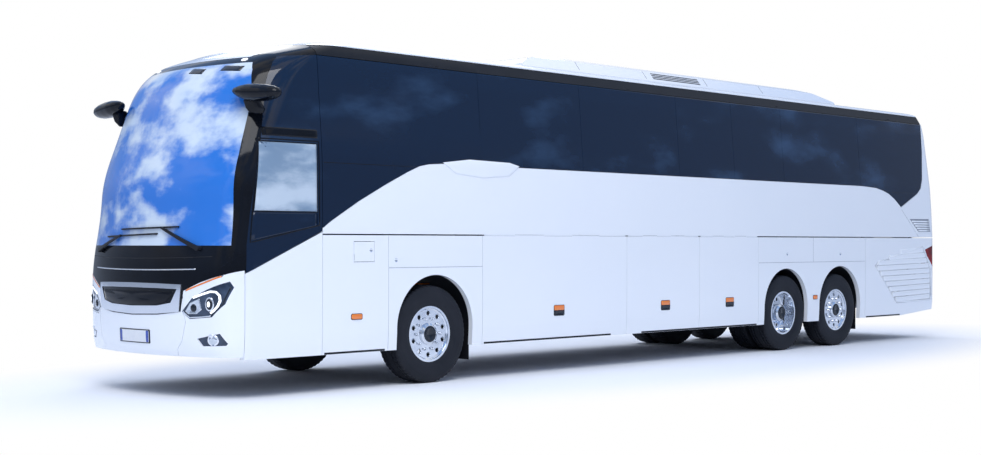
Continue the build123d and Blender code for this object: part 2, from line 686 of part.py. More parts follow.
STEPS = ((1190.0, 940.0, 425.0), (940.0, 690.0, 680.0), (690.0, 430.0 + contact_gap, 930.0))


def stairs(rows, start, end):
    """Thin treads and risers from the doorway inward."""
    out = None
    for x_out, x_in, top in rows:
        tread = block(-x_out, -x_in, start, end, top - plate, top)
        out = tread if out is None else out + tread
    for (a0, a1, low), (b0, b1, high) in zip(rows, rows[1:]):
        out += block(-b0, -b0 + plate, start, end, low - plate, high)
    return out


MID_STEPS = ((1190.0, 1000.0, 425.0), (1000.0, 850.0, 740.0), (850.0, 700.0, 1050.0), (700.0, -stair_x + contact_gap, 1360.0))
steps = [stairs(STEPS, 470, 1365), stairs(MID_STEPS, mid_door_start + 5, mid_door_end - 5)]
save("entry_steps", *steps)
hold_floor = block(-1195, 1195, hold_start - 2.7, hold_end + 2.7, hold_floor_top - plate, hold_floor_top)
hold_floor -= block(-1400, stair_x + 40, mid_door_start - 30, mid_door_end + 30, 300, 500)
bulkheads = []
for start, end in ((hold_start - 40, hold_start - 3), (hold_end + 3, hold_end + 40)):
    levels = (hold_floor_top - plate, 560.0, 900.0, floor_z - contact_gap)
    outline = [(half_width(z) - wall - contact_gap, z) for z in levels]
    bulkheads.append(front_prism(outline + [(-x, z) for x, z in reversed(outline)], start, end))
save("hold_floor", hold_floor, *bulkheads)

# Chassis under the floor
rail_x = 480.0
rail_w = 80.0
rail_low = 1180.0
members = []
rail_front = 1990.0
rail_rear = 13300.0
for side in (1, -1):
    x = side * rail_x
    for s0, s1 in ((rail_front, hold_start - 40.3), (hold_start - 2.7, hold_end + 2.7), (hold_end + 40.3, rail_rear)):
        members.append(block(x - rail_w / 2, x + rail_w / 2, s0, s1, rail_low, floor_z))
for s in (2000, 3480, 9100, 10350, 11700, 13100):
    half = rail_x - rail_w / 2 - contact_gap
    members.append(block(-half, half, s, s + 80, rail_low, floor_z))
spring_top = 860.0
spring_radius = 110.0
for station in (front_axle_station, drive_axle_station, tag_axle_station):
    for side in (1, -1):
        members.append(block(side * rail_x - 60, side * rail_x + 60, station - 90, station + 90, spring_top, rail_low - contact_gap))
# low front rails under the driver, the front beam, and the arms of the rear bumper
front_rail_z = 600.0
front_rail_h = 80.0
beam_back = 300.0
for side in (1, -1):
    x0, x1 = side * rail_x - rail_w / 2, side * rail_x + rail_w / 2
    members.append(block(x0, x1, beam_back + contact_gap, rail_front + 80, front_rail_z, front_rail_z + front_rail_h))
    members.append(block(x0, x1, rail_front, rail_front + 80, front_rail_z + front_rail_h + contact_gap, rail_low - contact_gap))
    x0, x1 = sorted((side * (rail_x + rail_w / 2 + contact_gap), side * (rail_x + rail_w / 2 + 60)))
    members.append(block(x0, x1, rail_rear - 300, rail_rear, 560, floor_z))
    members.append(block(x0, x1, rail_rear + contact_gap, total_length - wall - 2 - contact_gap, 560, 640))
members.append(nose_at(wall + contact_gap) & block(-1180, 1180, 0, beam_back, front_rail_z, front_rail_z + front_rail_h))
save("chassis_frame", *members)
save("engine_block", block(-rail_x, rail_x, 11900, 13250, 470, rail_low - contact_gap))


# Axles, knuckles and wheels
def fork_axle(station):
    """Beam with a fork at each end that carries the kingpin."""
    beam = block(-880, 880, station - 45, station + 45, axle_height - 60, axle_height + 40)
    for side in (1, -1):
        x0, x1 = sorted((side * 862, side * 886))
        beam += block(x0, x1, station - 45, station + 45, axle_height - knuckle_half_height - fork_thickness,
                      axle_height + knuckle_half_height + fork_thickness)
        x0, x1 = sorted((side * 862, side * 968))
        for sign in (1, -1):
            low = axle_height + sign * knuckle_half_height
            z0, z1 = sorted((low, low + sign * fork_thickness))
            beam += block(x0, x1, station - 45, station + 45, z0, z1)
        beam -= barrel((side * kingpin_x, station, 200), (side * kingpin_x, station, 900), kingpin_radius + running_gap)
        beam += barrel((side * rail_x, station, axle_height + 35), (side * rail_x, station, spring_top - contact_gap),
                       spring_radius)
    return beam


def knuckle(station, side):
    reach = knuckle_half_height - contact_gap
    body = barrel((side * kingpin_x, station, axle_height - reach), (side * kingpin_x, station, axle_height + reach),
                  knuckle_radius)
    body += barrel((side * kingpin_x, station, axle_height - reach - 30), (side * kingpin_x, station, axle_height + reach + 30),
                   kingpin_radius)
    body += barrel((side * kingpin_x, station, axle_height), (side * (wheel_x + 70), station, axle_height), spindle_radius)
    return body


def tyre(x, station):
    h = tyre_width / 2
    profile = [(rim_radius + contact_gap, h - 30), (flange_radius + 1, h - 30), (rim_radius + 60, h - 6), (430, h), (500, h - 9), (tyre_radius, h - 36)]
    points = profile + [(r, -a) for r, a in reversed(profile)]
    face = make_face(Polyline([(x + a, 0, r) for r, a in points], close=True))
    return Pos(0, station, axle_height) * revolve(face, Axis((0, 0, 0), (1, 0, 0)), 360)


hand_hole_circle = 222.0
hand_hole_radius = 26.0
axle_tube_radius = 75.0


def rim(x, station, side, dish, bore):
    """Disc wheel with its barrel, hand holes and hub; dish is the disc's place along x."""
    h = tyre_width / 2
    barrel_in = rim_radius - 14
    out = [(flange_radius, h - 24), (flange_radius, h - 30), (rim_radius, h - 30), (rim_radius, -h + 30), (flange_radius, -h + 30),
           (flange_radius, -h + 24), (barrel_in, -h + 24), (barrel_in, dish - 14), (hub_radius, dish - 14), (hub_radius, -60), (bore, -60)]
    if dish > 60:
        out += [(bore, dish + 34), (hub_radius - 22, dish + 34), (hub_radius, dish + 22), (hub_radius, dish + 2), (barrel_in - 16, dish + 2),
                (barrel_in, dish + 14)]
    else:
        out += [(bore, 100), (hub_radius - 25, 100), (hub_radius, 80), (hub_radius, dish + 2), (barrel_in - 16, dish + 2), (barrel_in, dish + 18)]
    out.append((barrel_in, h - 24))
    face = make_face(Polyline([(x + side * a, 0, r) for r, a in out], close=True))
    body = revolve(face, Axis((0, 0, 0), (1, 0, 0)), 360)
    for i in range(10):
        angle = math.radians(36 * i + 18)
        dy, dz = hand_hole_circle * math.cos(angle), hand_hole_circle * math.sin(angle)
        hole = Plane(origin=(x + side * (dish - 20), dy, dz), x_dir=(0, math.cos(angle), math.sin(angle)), z_dir=(side, 0, 0))
        body -= hole * extrude(RegularPolygon(hand_hole_radius, 10), amount=30)
    return Pos(0, station, axle_height) * body


save("front_axle", fork_axle(front_axle_station))
save("tag_axle", fork_axle(tag_axle_station))
axle_half = ((0, 210), (90, 210), (190, axle_tube_radius), (690, axle_tube_radius), (690, spindle_radius), (wheel_x + 70, spindle_radius))
axle_line = [(x, 0, r) for x, r in axle_half] + [(axle_half[-1][0], 0, 0), (-axle_half[-1][0], 0, 0)]
axle_line += [(-x, 0, r) for x, r in reversed(axle_half[1:])]
drive = Pos(0, drive_axle_station, axle_height) * revolve(make_face(Polyline(axle_line, close=True)), Axis((0, 0, 0), (1, 0, 0)), 360)
for side in (1, -1):
    drive += barrel((side * rail_x, drive_axle_station, axle_height + 35),
                    (side * rail_x, drive_axle_station, spring_top - contact_gap), spring_radius)
save("drive_axle", drive)
bore = spindle_radius + running_gap
for side, name in ((1, "left"), (-1, "right")):
    save("front_knuckle_" + name, knuckle(front_axle_station, side))
    save("tag_knuckle_" + name, knuckle(tag_axle_station, side))
    for axle, station in (("front", front_axle_station), ("tag", tag_axle_station)):
        save(axle + "_tyre_" + name, tyre(side * wheel_x, station))
        save(axle + "_rim_" + name, rim(side * wheel_x, station, side, 96, bore))
    inner_wheel = wheel_x - twin_spacing
    save("drive_tyres_" + name, tyre(side * wheel_x, drive_axle_station), tyre(side * inner_wheel, drive_axle_station))
    outer_rim = rim(side * wheel_x, drive_axle_station, side, -70, bore)
    inner_rim = rim(side * inner_wheel, drive_axle_station, -side, -70, axle_tube_radius + running_gap)
    save("drive_rims_" + name, outer_rim, inner_rim)

# Wheel housings and mud flaps
# station of the middle, inner radius
LINERS = (
    (front_axle_station, 598.0),
    (drive_axle_station, 550.0),
    (tag_axle_station, 578.0),
)
liner_outer_x = half_width(arch_center_z) - wall - contact_gap
housings = []
for station, radius in LINERS:
    for side in (1, -1):
        x0, x1 = sorted((side * liner_inner_x, side * liner_outer_x))
        big = barrel((x0, station, arch_center_z), (x1, station, arch_center_z), radius + liner_thickness)
        small = barrel((x0 - 1, station, arch_center_z), (x1 + 1, station, arch_center_z), radius)
        housings.append((big - small) & block(x0 - 5, x1 + 5, station - 800, station + 800, arch_center_z, 1400))
save("wheel_housings", *housings)
flaps = []
for station, radius in (LINERS[0], LINERS[2]):
    for side in (1, -1):
        x0, x1 = sorted((side * 930, side * 1195))
        s = station + radius
        flaps.append(block(x0, x1, s, s + 6, 215, arch_center_z - contact_gap))
save("mud_flaps", *flaps)

# Passenger doors: a leaf carried by an arm that swings on a column
arm_length = 560.0
column_x = -1120.0
column_radius = 18.0
pin_radius = 12.0
leaf_wall = 45.0
FRONT_ARM_LEVELS = (1000.0, 2385.0)
MIDDLE_ARM_LEVELS = (1000.0, 2235.0)


# Upper bar of the front arm: inboard and rearward of its column, bent so that it passes behind the pillar when open
CRANK = ((0.0, 0.0), (64.0, 9.0), (87.0, 137.0), (0.0, 560.0))


def crank_bar(pivot, z):
    spots = [(column_x + inboard, pivot + rear) for inboard, rear in CRANK]
    bar = barrel((*spots[1], z - 15), (*spots[1], z + 15), 14) + barrel((*spots[2], z - 15), (*spots[2], z + 15), 14)
    for (xa, sa), (xb, sb) in zip(spots, spots[1:]):
        run = math.hypot(xb - xa, sb - sa)
        nx, ns = -(sb - sa) / run * 14, (xb - xa) / run * 14
        bar += plan_prism([(xa + nx, sa + ns), (xb + nx, sb + ns), (xb - nx, sb - ns), (xa - nx, sa - ns)], z - 15, z + 15)
    return bar


def door_arm(pivot, direction, levels, cranked=()):
    """Column with two bars that reach the leaf, and a pin on each."""
    arm = barrel((column_x, pivot, hold_floor_top + contact_gap), (column_x, pivot, levels[-1] + 40), column_radius)
    end = pivot + direction * arm_length
    for z in levels:
        s0, s1 = sorted((pivot, end))
        arm += crank_bar(pivot, z) if z in cranked else block(column_x - 14, column_x + 14, s0, s1, z - 15, z + 15)
        arm += barrel((column_x, end, z - 15), (column_x, end, z + 15), column_radius)
        arm += barrel((column_x, end, z + 15), (column_x, end, z + 45), pin_radius)
    return arm


def leaf_brackets(station, levels):
    out = []
    for z in levels:
        tab = block(-(body_half_width - leaf_wall + 2), column_x + 20, station - 22, station + 22,
                    z + 15 + contact_gap, z + 40)
        tab -= barrel((column_x, station, z), (column_x, station, z + 60), pin_radius + running_gap)
        out.append(tab)
    return out


front_pivot = 600.0
leaf_zone = side_prism(door_front_edge + [(door_seam - door_gap - 3, 2450), (door_seam - door_gap - 3, 400)], -1400, -900)
front_leaf = nose_layer(leaf_zone, 0, leaf_wall)
front_light = [(545, 1150), (560, 1760), (690, 2370), (1290, 2370), (1290, 1150)]
front_pane_zone = side_prism(front_light, -1400, -900)
front_leaf -= front_pane_zone
for tab in leaf_brackets(front_pivot + arm_length, FRONT_ARM_LEVELS):
    front_leaf += tab
save("front_door_leaf", front_leaf)
save("front_door_glass", nose_layer(front_pane_zone, pane, 2 * pane))
save("front_door_arm", door_arm(front_pivot, 1, FRONT_ARM_LEVELS, FRONT_ARM_LEVELS[1:]))
mid_pivot = mid_door_end - 40.0
mid_leaf = side_wall(400, mid_door_top, 0, leaf_wall, mid_door_start, mid_door_end, -1)
mid_light = block(-1400, -1000, mid_door_start + 80, mid_door_end - 80, 1250, mid_door_top - 80)
mid_leaf -= mid_light
for tab in leaf_brackets(mid_pivot - arm_length, MIDDLE_ARM_LEVELS):
    mid_leaf += tab
save("middle_door_leaf", mid_leaf)
save("middle_door_glass", side_wall(1250, mid_door_top - 80, pane, 2 * pane, mid_door_start + 80, mid_door_end - 80, -1))
save("middle_door_arm", door_arm(mid_pivot, -1, MIDDLE_ARM_LEVELS))

# Camera wings beside the windscreen
# x, height of the wing seen from the front
WING = ((1010.0, 2985.0), (1060.0, 3040.0), (1150.0, 3075.0), (1330.0, 3080.0), (1500.0, 3040.0), (1610.0, 2985.0), (1600.0, 2950.0),
        (1480.0, 2925.0), (1300.0, 2905.0), (1130.0, 2915.0))
wing_outside = nose_at(-contact_gap)
wings = []
for side in (1, -1):
    wing = front_prism([(side * x, z) for x, z in WING], 385, 560)
    wing &= plan_prism([(side * 980, 470), (side * 1100, 395), (side * 1350, 385), (side * 1640, 440), (side * 1640, 500),
                        (side * 1400, 560), (side * 1100, 575), (side * 980, 530)], 2800, 3200)
    foot = front_prism([(side * 1085, 2735), (side * 1150, 2735), (side * 1230, 2925), (side * 1105, 2925)], 470, 760)
    wings.append(wing + (foot - wing_outside))
save("camera_wings", *wings)

# Cab and cabin fittings
inside_gap = nose_at(wall + contact_gap)
dash = side_prism([(420, 1330), (520, 1440), (900, 1420), (980, 1330), (960, 1180), (700, 1150), (640, driver_floor_top + 0.3),
                   (560, driver_floor_top + 0.3)], -420, 1130)
cowl = block(-1050, 1180, 0, 560, 1420, 1500)
dash = (dash + cowl) & inside_gap
wheel_center = (600.0, 1060.0, 1690.0)
tilt = 28.0
post_radius = 22.0
post_length = 420.0
on_wheel = Location(wheel_center, (-tilt, 0, 0))
dash -= on_wheel * (Pos(0, 0, -40 - post_length / 2) * Cylinder(post_radius + running_gap, post_length))
save("dashboard", dash)
ring_radius = 235.0
ring_section = RegularPolygon(16, 8)
grip = revolve(Plane.XZ * (Pos(ring_radius, 0) * ring_section), Axis.Z, 360)
spokes = Box(2 * ring_radius - 20, 40, 14) + Pos(0, -ring_radius / 2, 0) * Box(40, ring_radius - 12, 14) + Cylinder(50, 40)
steering = on_wheel * (grip + spokes + Pos(0, 0, -10 - post_length / 2) * Cylinder(post_radius, post_length))
save("steering_wheel", steering)


def seat(x, station, width, floor_level):
    """Base, cushion and raked back of one seat, close above each other."""
    base = block(x - width / 2 + 60, x + width / 2 - 60, station - 180, station + 140, floor_level + contact_gap, floor_level + 330)
    cushion = block(x - width / 2, x + width / 2, station - 260, station + 200, floor_level + 330 + contact_gap, floor_level + 440)
    rest = side_prism([(station + 135, floor_level + 440 + contact_gap), (station + 225, floor_level + 440 + contact_gap),
                       (station + 400, floor_level + 1120), (station + 310, floor_level + 1150)], x - width / 2, x + width / 2)
    return [base, cushion, rest]


row_pitch = 790.0
rows = 13
seat_width = 836.0
seat_x = 740.0
seats = seat(600, 1560, 520, driver_floor_top)
for i in range(rows):
    station = 2480 + i * row_pitch
    seats += seat(seat_x, station, seat_width, cabin_floor_top)
    if not (mid_door_start - 500 < station < mid_door_end + 300):
        seats += seat(-seat_x, station, seat_width, cabin_floor_top)
save("seats", *seats)
rack_low = 2890.0
rack_top = 3080.0
racks = []
for side in (1, -1):
    near = [half_width(z) - wall - post_depth - contact_gap for z in (rack_low, rack_top)]
    outline = [(side * near[0], rack_low), (side * 760, rack_low + 50), (side * 760, rack_top), (side * near[1], rack_top)]
    racks.append(front_prism(outline, 3500, 13300))
save("luggage_racks", *racks)

# Wipers parked along the foot of the windscreen
# x, height of blade ends, of the arm's outer end and of its pivot
WIPERS = (
    ((-300.0, 1632.0), (618.0, 1650.0), (400.0, 1646.0), (897.0, 1445.0)),
    ((-616.0, 1558.0), (334.0, 1584.0), (-282.0, 1571.0), (-800.0, 1425.0)),
)
blade_height = 16.0
arm_width = 26.0
blade_depths = (-22.0, -4.0)
arm_depths = (-38.0, -20.0)


def strip(a, b, width_a, width_b):
    """Outline of a tapered bar between two points seen from the front."""
    dx, dz = b[0] - a[0], b[1] - a[1]
    length = math.hypot(dx, dz)
    nx, nz = -dz / length / 2, dx / length / 2
    return [(a[0] + nx * width_a, a[1] + nz * width_a), (b[0] + nx * width_b, b[1] + nz * width_b),
            (b[0] - nx * width_b, b[1] - nz * width_b), (a[0] - nx * width_a, a[1] - nz * width_a)]


wipers = []
for start, end, joint, pivot in WIPERS:
    wiper = nose_layer(front_prism(strip(start, end, blade_height, blade_height), -200, 400), *blade_depths)
    wiper += nose_layer(front_prism(strip(pivot, joint, arm_width + 12, arm_width - 8), -200, 500), *arm_depths)
    wiper += nose_layer(barrel((pivot[0], -200, pivot[1]), (pivot[0], 500, pivot[1]), 24), arm_depths[0], -contact_gap)
    wipers.append(wiper)
save("wipers", *wipers)
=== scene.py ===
"""Dresses the touring coach: paint, glass, lamps, wheels, cabin, light and camera."""
import json
import logging
import math
from dataclasses import dataclass, field
from enum import Enum
from functools import partial
from typing import Sequence

import bmesh
import bpy
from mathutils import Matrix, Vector
from mathutils.bvhtree import BVHTree

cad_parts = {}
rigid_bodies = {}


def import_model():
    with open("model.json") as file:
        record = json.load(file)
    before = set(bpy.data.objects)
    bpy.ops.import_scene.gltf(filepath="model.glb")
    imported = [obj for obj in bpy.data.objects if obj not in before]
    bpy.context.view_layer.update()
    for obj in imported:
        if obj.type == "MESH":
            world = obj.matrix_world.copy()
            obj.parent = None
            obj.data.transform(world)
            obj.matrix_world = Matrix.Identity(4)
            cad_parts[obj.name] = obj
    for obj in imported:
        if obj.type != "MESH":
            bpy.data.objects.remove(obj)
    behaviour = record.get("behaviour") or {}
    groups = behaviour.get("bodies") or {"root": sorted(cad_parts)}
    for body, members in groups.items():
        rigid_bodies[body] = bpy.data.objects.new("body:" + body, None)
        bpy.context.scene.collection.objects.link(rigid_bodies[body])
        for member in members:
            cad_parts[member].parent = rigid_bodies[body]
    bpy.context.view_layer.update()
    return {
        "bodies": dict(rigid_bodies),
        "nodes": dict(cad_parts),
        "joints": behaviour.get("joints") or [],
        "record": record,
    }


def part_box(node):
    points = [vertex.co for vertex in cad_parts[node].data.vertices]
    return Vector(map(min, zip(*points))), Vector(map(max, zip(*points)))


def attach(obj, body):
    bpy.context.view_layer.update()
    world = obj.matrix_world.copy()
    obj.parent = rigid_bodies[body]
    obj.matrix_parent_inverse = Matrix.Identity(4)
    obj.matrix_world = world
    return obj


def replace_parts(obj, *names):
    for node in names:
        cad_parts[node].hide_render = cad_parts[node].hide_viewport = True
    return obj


LOG = logging.getLogger("coach")
Point = tuple[float, float, float]
Colour = tuple[float, float, float]
Spot = tuple[float, float]
Outline = Sequence[Spot]
Faces = list[tuple[int, ...]]
Tree = bpy.types.NodeTree
Node = bpy.types.Node
Socket = bpy.types.NodeSocket
Item = bpy.types.Object

NOSE_Y = -6.9675
COAT_ROUGH = 0.03
TURN = 2 * math.pi


def along(station: float) -> float:
    """Place along the coach of a station measured back from the front end, in metres."""
    return station + NOSE_Y


def put(name: str, data: bpy.types.ID) -> Item:
    """New object around some data, linked into the scene."""
    item = bpy.data.objects.new(name, data)
    bpy.context.collection.objects.link(item)
    return item


def wire(tree: Tree, node: Node, values: dict, feeds: dict[str | int, Socket] | None = None) -> Node:
    """Sets input values of a node and links its other inputs."""
    for key, value in values.items():
        node.inputs[key].default_value = value
    for key, socket in (feeds or {}).items():
        tree.links.new(socket, node.inputs[key])
    return node


def grow(tree: Tree, kind: str, values: dict | None = None, feeds: dict[str | int, Socket] | None = None,
         **options: str) -> Node:
    """New shader node with its options, input values and incoming links."""
    node = tree.nodes.new(f"ShaderNode{kind}")
    for key, value in options.items():
        setattr(node, key, value)
    return wire(tree, node, values or {}, feeds)


def ramp(tree: Tree, factor: Socket, stops: Sequence[tuple[float, Colour]], easing: str = "LINEAR") -> Socket:
    """Colour that runs between two stops, each a place and a colour, as a factor says."""
    node = grow(tree, "ValToRGB", feeds={"Fac": factor})
    node.color_ramp.interpolation = easing
    for stop, (place, colour) in zip(node.color_ramp.elements, stops):
        stop.position = place
        stop.color = (*colour, 1.0)
    return node.outputs["Color"]


def quads(rows: int, count: int, rows_close: bool = False, count_closes: bool = True, caps: bool = False) -> Faces:
    """Faces between neighbouring rows of points.

    Args:
        rows: Number of rows.
        count: Points in each row.
        rows_close: Whether the last row joins the first.
        count_closes: Whether the last point of a row joins its first.
        caps: Whether the first and last rows are filled.

    Returns:
        The point numbers of each face.
    """
    faces: Faces = []
    for i in range(rows if rows_close else rows - 1):
        j = (i + 1) % rows
        for k in range(count if count_closes else count - 1):
            m = (k + 1) % count
            faces.append((i * count + k, i * count + m, j * count + m, j * count + k))
    if caps:
        faces += [tuple(range(count)), tuple((rows - 1) * count + k for k in range(count))]
    return faces


class Side(Enum):
    """The two sides of the coach; the value is the sign of x."""

    LEFT = 1
    RIGHT = -1

    @property
    def word(self) -> str:
        """Name of the side as the parts use it."""
        return self.name.lower()


class Blend(Enum):
    """How a second colour spreads over a finish: where in the noise it begins and is full."""

    CLOUD = (0.35, 0.75)
    FLECK = (0.55, 0.62)


class Surface:
    """A material that is built once and then given again."""

    name: str

    def make(self) -> bpy.types.Material:
        """The material; its name is kept apart from the plain ones that come with the frame."""
        key = f"look_{self.name}"
        made = bpy.data.materials.get(key)
        if made is None:
            made = bpy.data.materials.new(key)
            made.use_nodes = True
            tree = made.node_tree
            self.shade(tree, tree.nodes["Principled BSDF"], grow(tree, "TexCoord").outputs["Object"])
        return made

    def shade(self, tree: Tree, shader: Node, place: Socket) -> None:
        """Sets the shader up; place gives the object's own coordinates."""
        raise NotImplementedError


@dataclass(frozen=True)
class Finish(Surface):
    """One surface finish, made of shader nodes.

    Attributes:
        name: Name of the material.
        colour: Main colour.
        second: Colour that the noise mixes in, if any.
        blend: How the second colour spreads.
        scale: Size of the noise, in waves per metre.
        metallic, rough, rough_spread: Gloss of the surface and how much it wanders.
        coat: Clear coat weight.
        ior: Index of refraction.
        bump: Height of the surface grain in metres.
        grain: Scale of the surface grain.
        glow: Strength of the surface's own light.
        shine: Level of the mirror share at right angles, 0.5 being plain.
    """

    name: str
    colour: Colour
    second: Colour | None = None
    blend: Blend = Blend.CLOUD
    scale: float = 3.0
    metallic: float = 0.0
    rough: float = 0.4
    rough_spread: float = 0.05
    coat: float = 0.0
    ior: float = 1.5
    bump: float = 0.0
    grain: float = 300.0
    glow: float = 0.0
    shine: float = 0.5

    def shade(self, tree: Tree, shader: Node, place: Socket) -> None:
        """Sets the gloss, and lets noise move the colour, the roughness and the grain."""
        plain = (*self.colour, 1.0)
        values = {"Base Color": plain, "Metallic": self.metallic, "Roughness": self.rough, "IOR": self.ior,
                  "Specular IOR Level": self.shine, "Coat Weight": self.coat, "Coat Roughness": COAT_ROUGH}
        if self.glow > 0.0:
            values |= {"Emission Color": plain, "Emission Strength": self.glow}
        noise = grow(tree, "TexNoise", {"Scale": self.scale, "Detail": 5.0}, {"Vector": place}).outputs["Fac"]
        low, high = max(0.0, self.rough - self.rough_spread), min(1.0, self.rough + self.rough_spread)
        wander = grow(tree, "MapRange", {"To Min": low, "To Max": high}, {"Value": noise})
        feeds = {"Roughness": wander.outputs["Result"]}
        if self.second is not None:
            feeds["Base Color"] = ramp(tree, noise, tuple(zip(self.blend.value, (self.colour, self.second))))
        if self.bump > 0.0:
            fine = grow(tree, "TexNoise", {"Scale": self.grain}, {"Vector": place})
            bump = grow(tree, "Bump", {"Distance": self.bump, "Strength": 0.6}, {"Height": fine.outputs["Fac"]})
            feeds["Normal"] = bump.outputs["Normal"]
        wire(tree, shader, values, feeds)


@dataclass(frozen=True)
class BandedFinish(Surface):
    """A finish whose colour changes at one height, such as white below and black above."""

    name: str
    lower: Finish
    upper: Finish
    height: float

    def shade(self, tree: Tree, shader: Node, place: Socket) -> None:
        """Splits the colour at the height; the gloss is the lower finish's."""
        axes = grow(tree, "SeparateXYZ", feeds={"Vector": place})
        above = grow(tree, "Math", {1: self.height}, {0: axes.outputs["Z"]}, operation="GREATER_THAN")
        colours = {"A": (*self.lower.colour, 1.0), "B": (*self.upper.colour, 1.0)}
        mix = grow(tree, "Mix", colours, {"Factor": above.outputs["Value"]}, data_type="RGBA")
        wire(tree, shader, {"Roughness": self.lower.rough, "Coat Weight": self.lower.coat,
                            "Coat Roughness": COAT_ROUGH}, {"Base Color": mix.outputs["Result"]})


@dataclass(frozen=True)
class SkyGlass(Surface):
    """Laminated glass whose colour is a painted reflection of an overcast sky with soft clouds.

    Attributes:
        name: Name of the material.
        deep: Colour of the painted reflection of open sky.
        cloud: Colour of the painted reflection of cloud.
        scale: Waves per metre of the painted cloud pattern.
        cover: Where in the noise the painted cloud begins and is full.
        coat: Clear coat weight.
        clear: Share of light let through.
        stretch: How far the painted clouds are drawn out along each axis.
    """

    name: str
    deep: Colour
    cloud: Colour
    scale: float
    cover: tuple[float, float]
    coat: float
    clear: float = 0.0
    stretch: Point = (1.0, 0.6, 1.5)

    def shade(self, tree: Tree, shader: Node, place: Socket) -> None:
        """Paints the sky's clouds into the glass's base colour, as a painted reflection."""
        drawn = grow(tree, "Mapping", {"Scale": self.stretch}, {"Vector": place})
        broad = grow(tree, "TexNoise", {"Scale": self.scale, "Detail": 7.0, "Roughness": 0.52},
                     {"Vector": drawn.outputs["Vector"]})
        # Painted reflection: open sky and clouds are painted into the glass's base colour.
        clouds = ramp(tree, broad.outputs["Fac"], tuple(zip(self.cover, (self.deep, self.cloud))), "EASE")
        wire(tree, shader, {"Metallic": 0.0, "Roughness": 0.03, "Coat Weight": self.coat, "IOR": 1.38,
                            "Transmission Weight": self.clear}, {"Base Color": clouds})


WHITE = Finish("white_paint", (0.88, 0.90, 0.93), (0.86, 0.885, 0.92), scale=0.6, rough=0.2, coat=0.7)
BLACK = Finish("black_gloss", (0.003, 0.004, 0.007), (0.005, 0.007, 0.012), rough=0.08, rough_spread=0.02, ior=1.36,
               shine=0.35)
# These glass colours are painted reflections of the sky and its clouds.
SIDE_GLASS = SkyGlass("side_glass", (0.002, 0.012, 0.036), (0.028, 0.065, 0.135), 0.9, (0.50, 0.72), 0.15, 0.06)
SCREEN_GLASS = SkyGlass("screen_glass", (0.02, 0.17, 0.60), (0.62, 0.71, 0.80), 1.35, (0.43, 0.60), 0.5)
PANE_GLASS = SkyGlass("pane_glass", (0.20, 0.29, 0.40), (0.52, 0.60, 0.68), 2.2, (0.40, 0.66), 0.3)
CHROME = Finish("chrome", (0.80, 0.82, 0.86), (0.72, 0.75, 0.80), metallic=1.0, rough=0.08, rough_spread=0.03)
ALLOY = Finish("polished_alloy", (0.74, 0.77, 0.82), (0.60, 0.64, 0.70), scale=8.0, metallic=1.0, rough=0.12,
               rough_spread=0.08, bump=0.0002)
STEEL = Finish("black_steel", (0.03, 0.032, 0.036), (0.05, 0.05, 0.052), rough=0.55, bump=0.0004)
TYRE = Finish("tyre_rubber", (0.008, 0.010, 0.016), (0.014, 0.016, 0.023), scale=6.0, rough=0.66, ior=1.36,
              bump=0.0006, grain=90.0)
RUBBER = Finish("rubber", (0.006, 0.006, 0.009), (0.009, 0.009, 0.012), rough=0.7, ior=1.36, bump=0.0003)
PLASTIC = Finish("black_plastic", (0.006, 0.007, 0.010), (0.010, 0.011, 0.015), rough=0.42, ior=1.36, bump=0.0003,
                 grain=500.0)
GREY = Finish("cabin_trim", (0.22, 0.23, 0.25), (0.27, 0.28, 0.30), rough=0.7, bump=0.0003)
FLOOR = Finish("floor_covering", (0.16, 0.16, 0.18), (0.23, 0.23, 0.25), Blend.FLECK, scale=60.0, rough=0.75)
LENS = Finish("lamp_lens", (0.008, 0.016, 0.035), (0.05, 0.08, 0.14), scale=7.0, rough=0.08, coat=0.4, ior=1.4)
RED_LENS = Finish("red_lens", (0.30, 0.006, 0.010), (0.03, 0.002, 0.004), scale=5.0, rough=0.1, coat=0.1, ior=1.38)
AMBER = Finish("amber_lens", (0.90, 0.20, 0.02), (0.80, 0.22, 0.01), scale=40.0, rough=0.15, coat=1.0)
IRON = Finish("cast_iron", (0.10, 0.10, 0.11), (0.15, 0.14, 0.14), rough=0.6, bump=0.001, grain=60.0)
CLOTH = Finish("seat_cloth", (0.035, 0.045, 0.085), (0.06, 0.075, 0.13), Blend.FLECK, scale=90.0, rough=0.9,
               bump=0.0006, grain=700.0)
BLUE = Finish("plate_blue", (0.01, 0.05, 0.35), (0.012, 0.06, 0.38), scale=30.0, rough=0.3, coat=0.5)
PLATE = Finish("plate_white", (0.78, 0.79, 0.80), (0.74, 0.75, 0.77), scale=20.0, rough=0.35, coat=0.4)
SEAM = Finish("seam_rubber", (0.010, 0.011, 0.014), (0.015, 0.015, 0.018), scale=30.0, rough=0.6, ior=1.36)
FINE_SEAM = Finish("fine_seam", (0.22, 0.24, 0.28), (0.28, 0.30, 0.34), scale=30.0, rough=0.6)
GLASS_DOME = Finish("lamp_glass", (0.55, 0.60, 0.66), (0.70, 0.74, 0.80), scale=25.0, metallic=0.8, rough=0.05,
                    coat=1.0)
BEZEL = Finish("lamp_bezel", (0.006, 0.010, 0.018), (0.012, 0.018, 0.03), scale=15.0, rough=0.15, coat=0.2, ior=1.38)
BRIGHT = Finish("day_light", (0.95, 0.97, 1.0), rough=0.2, glow=0.8)
DOOR = BandedFinish("door_paint", WHITE, BLACK, 1.15)

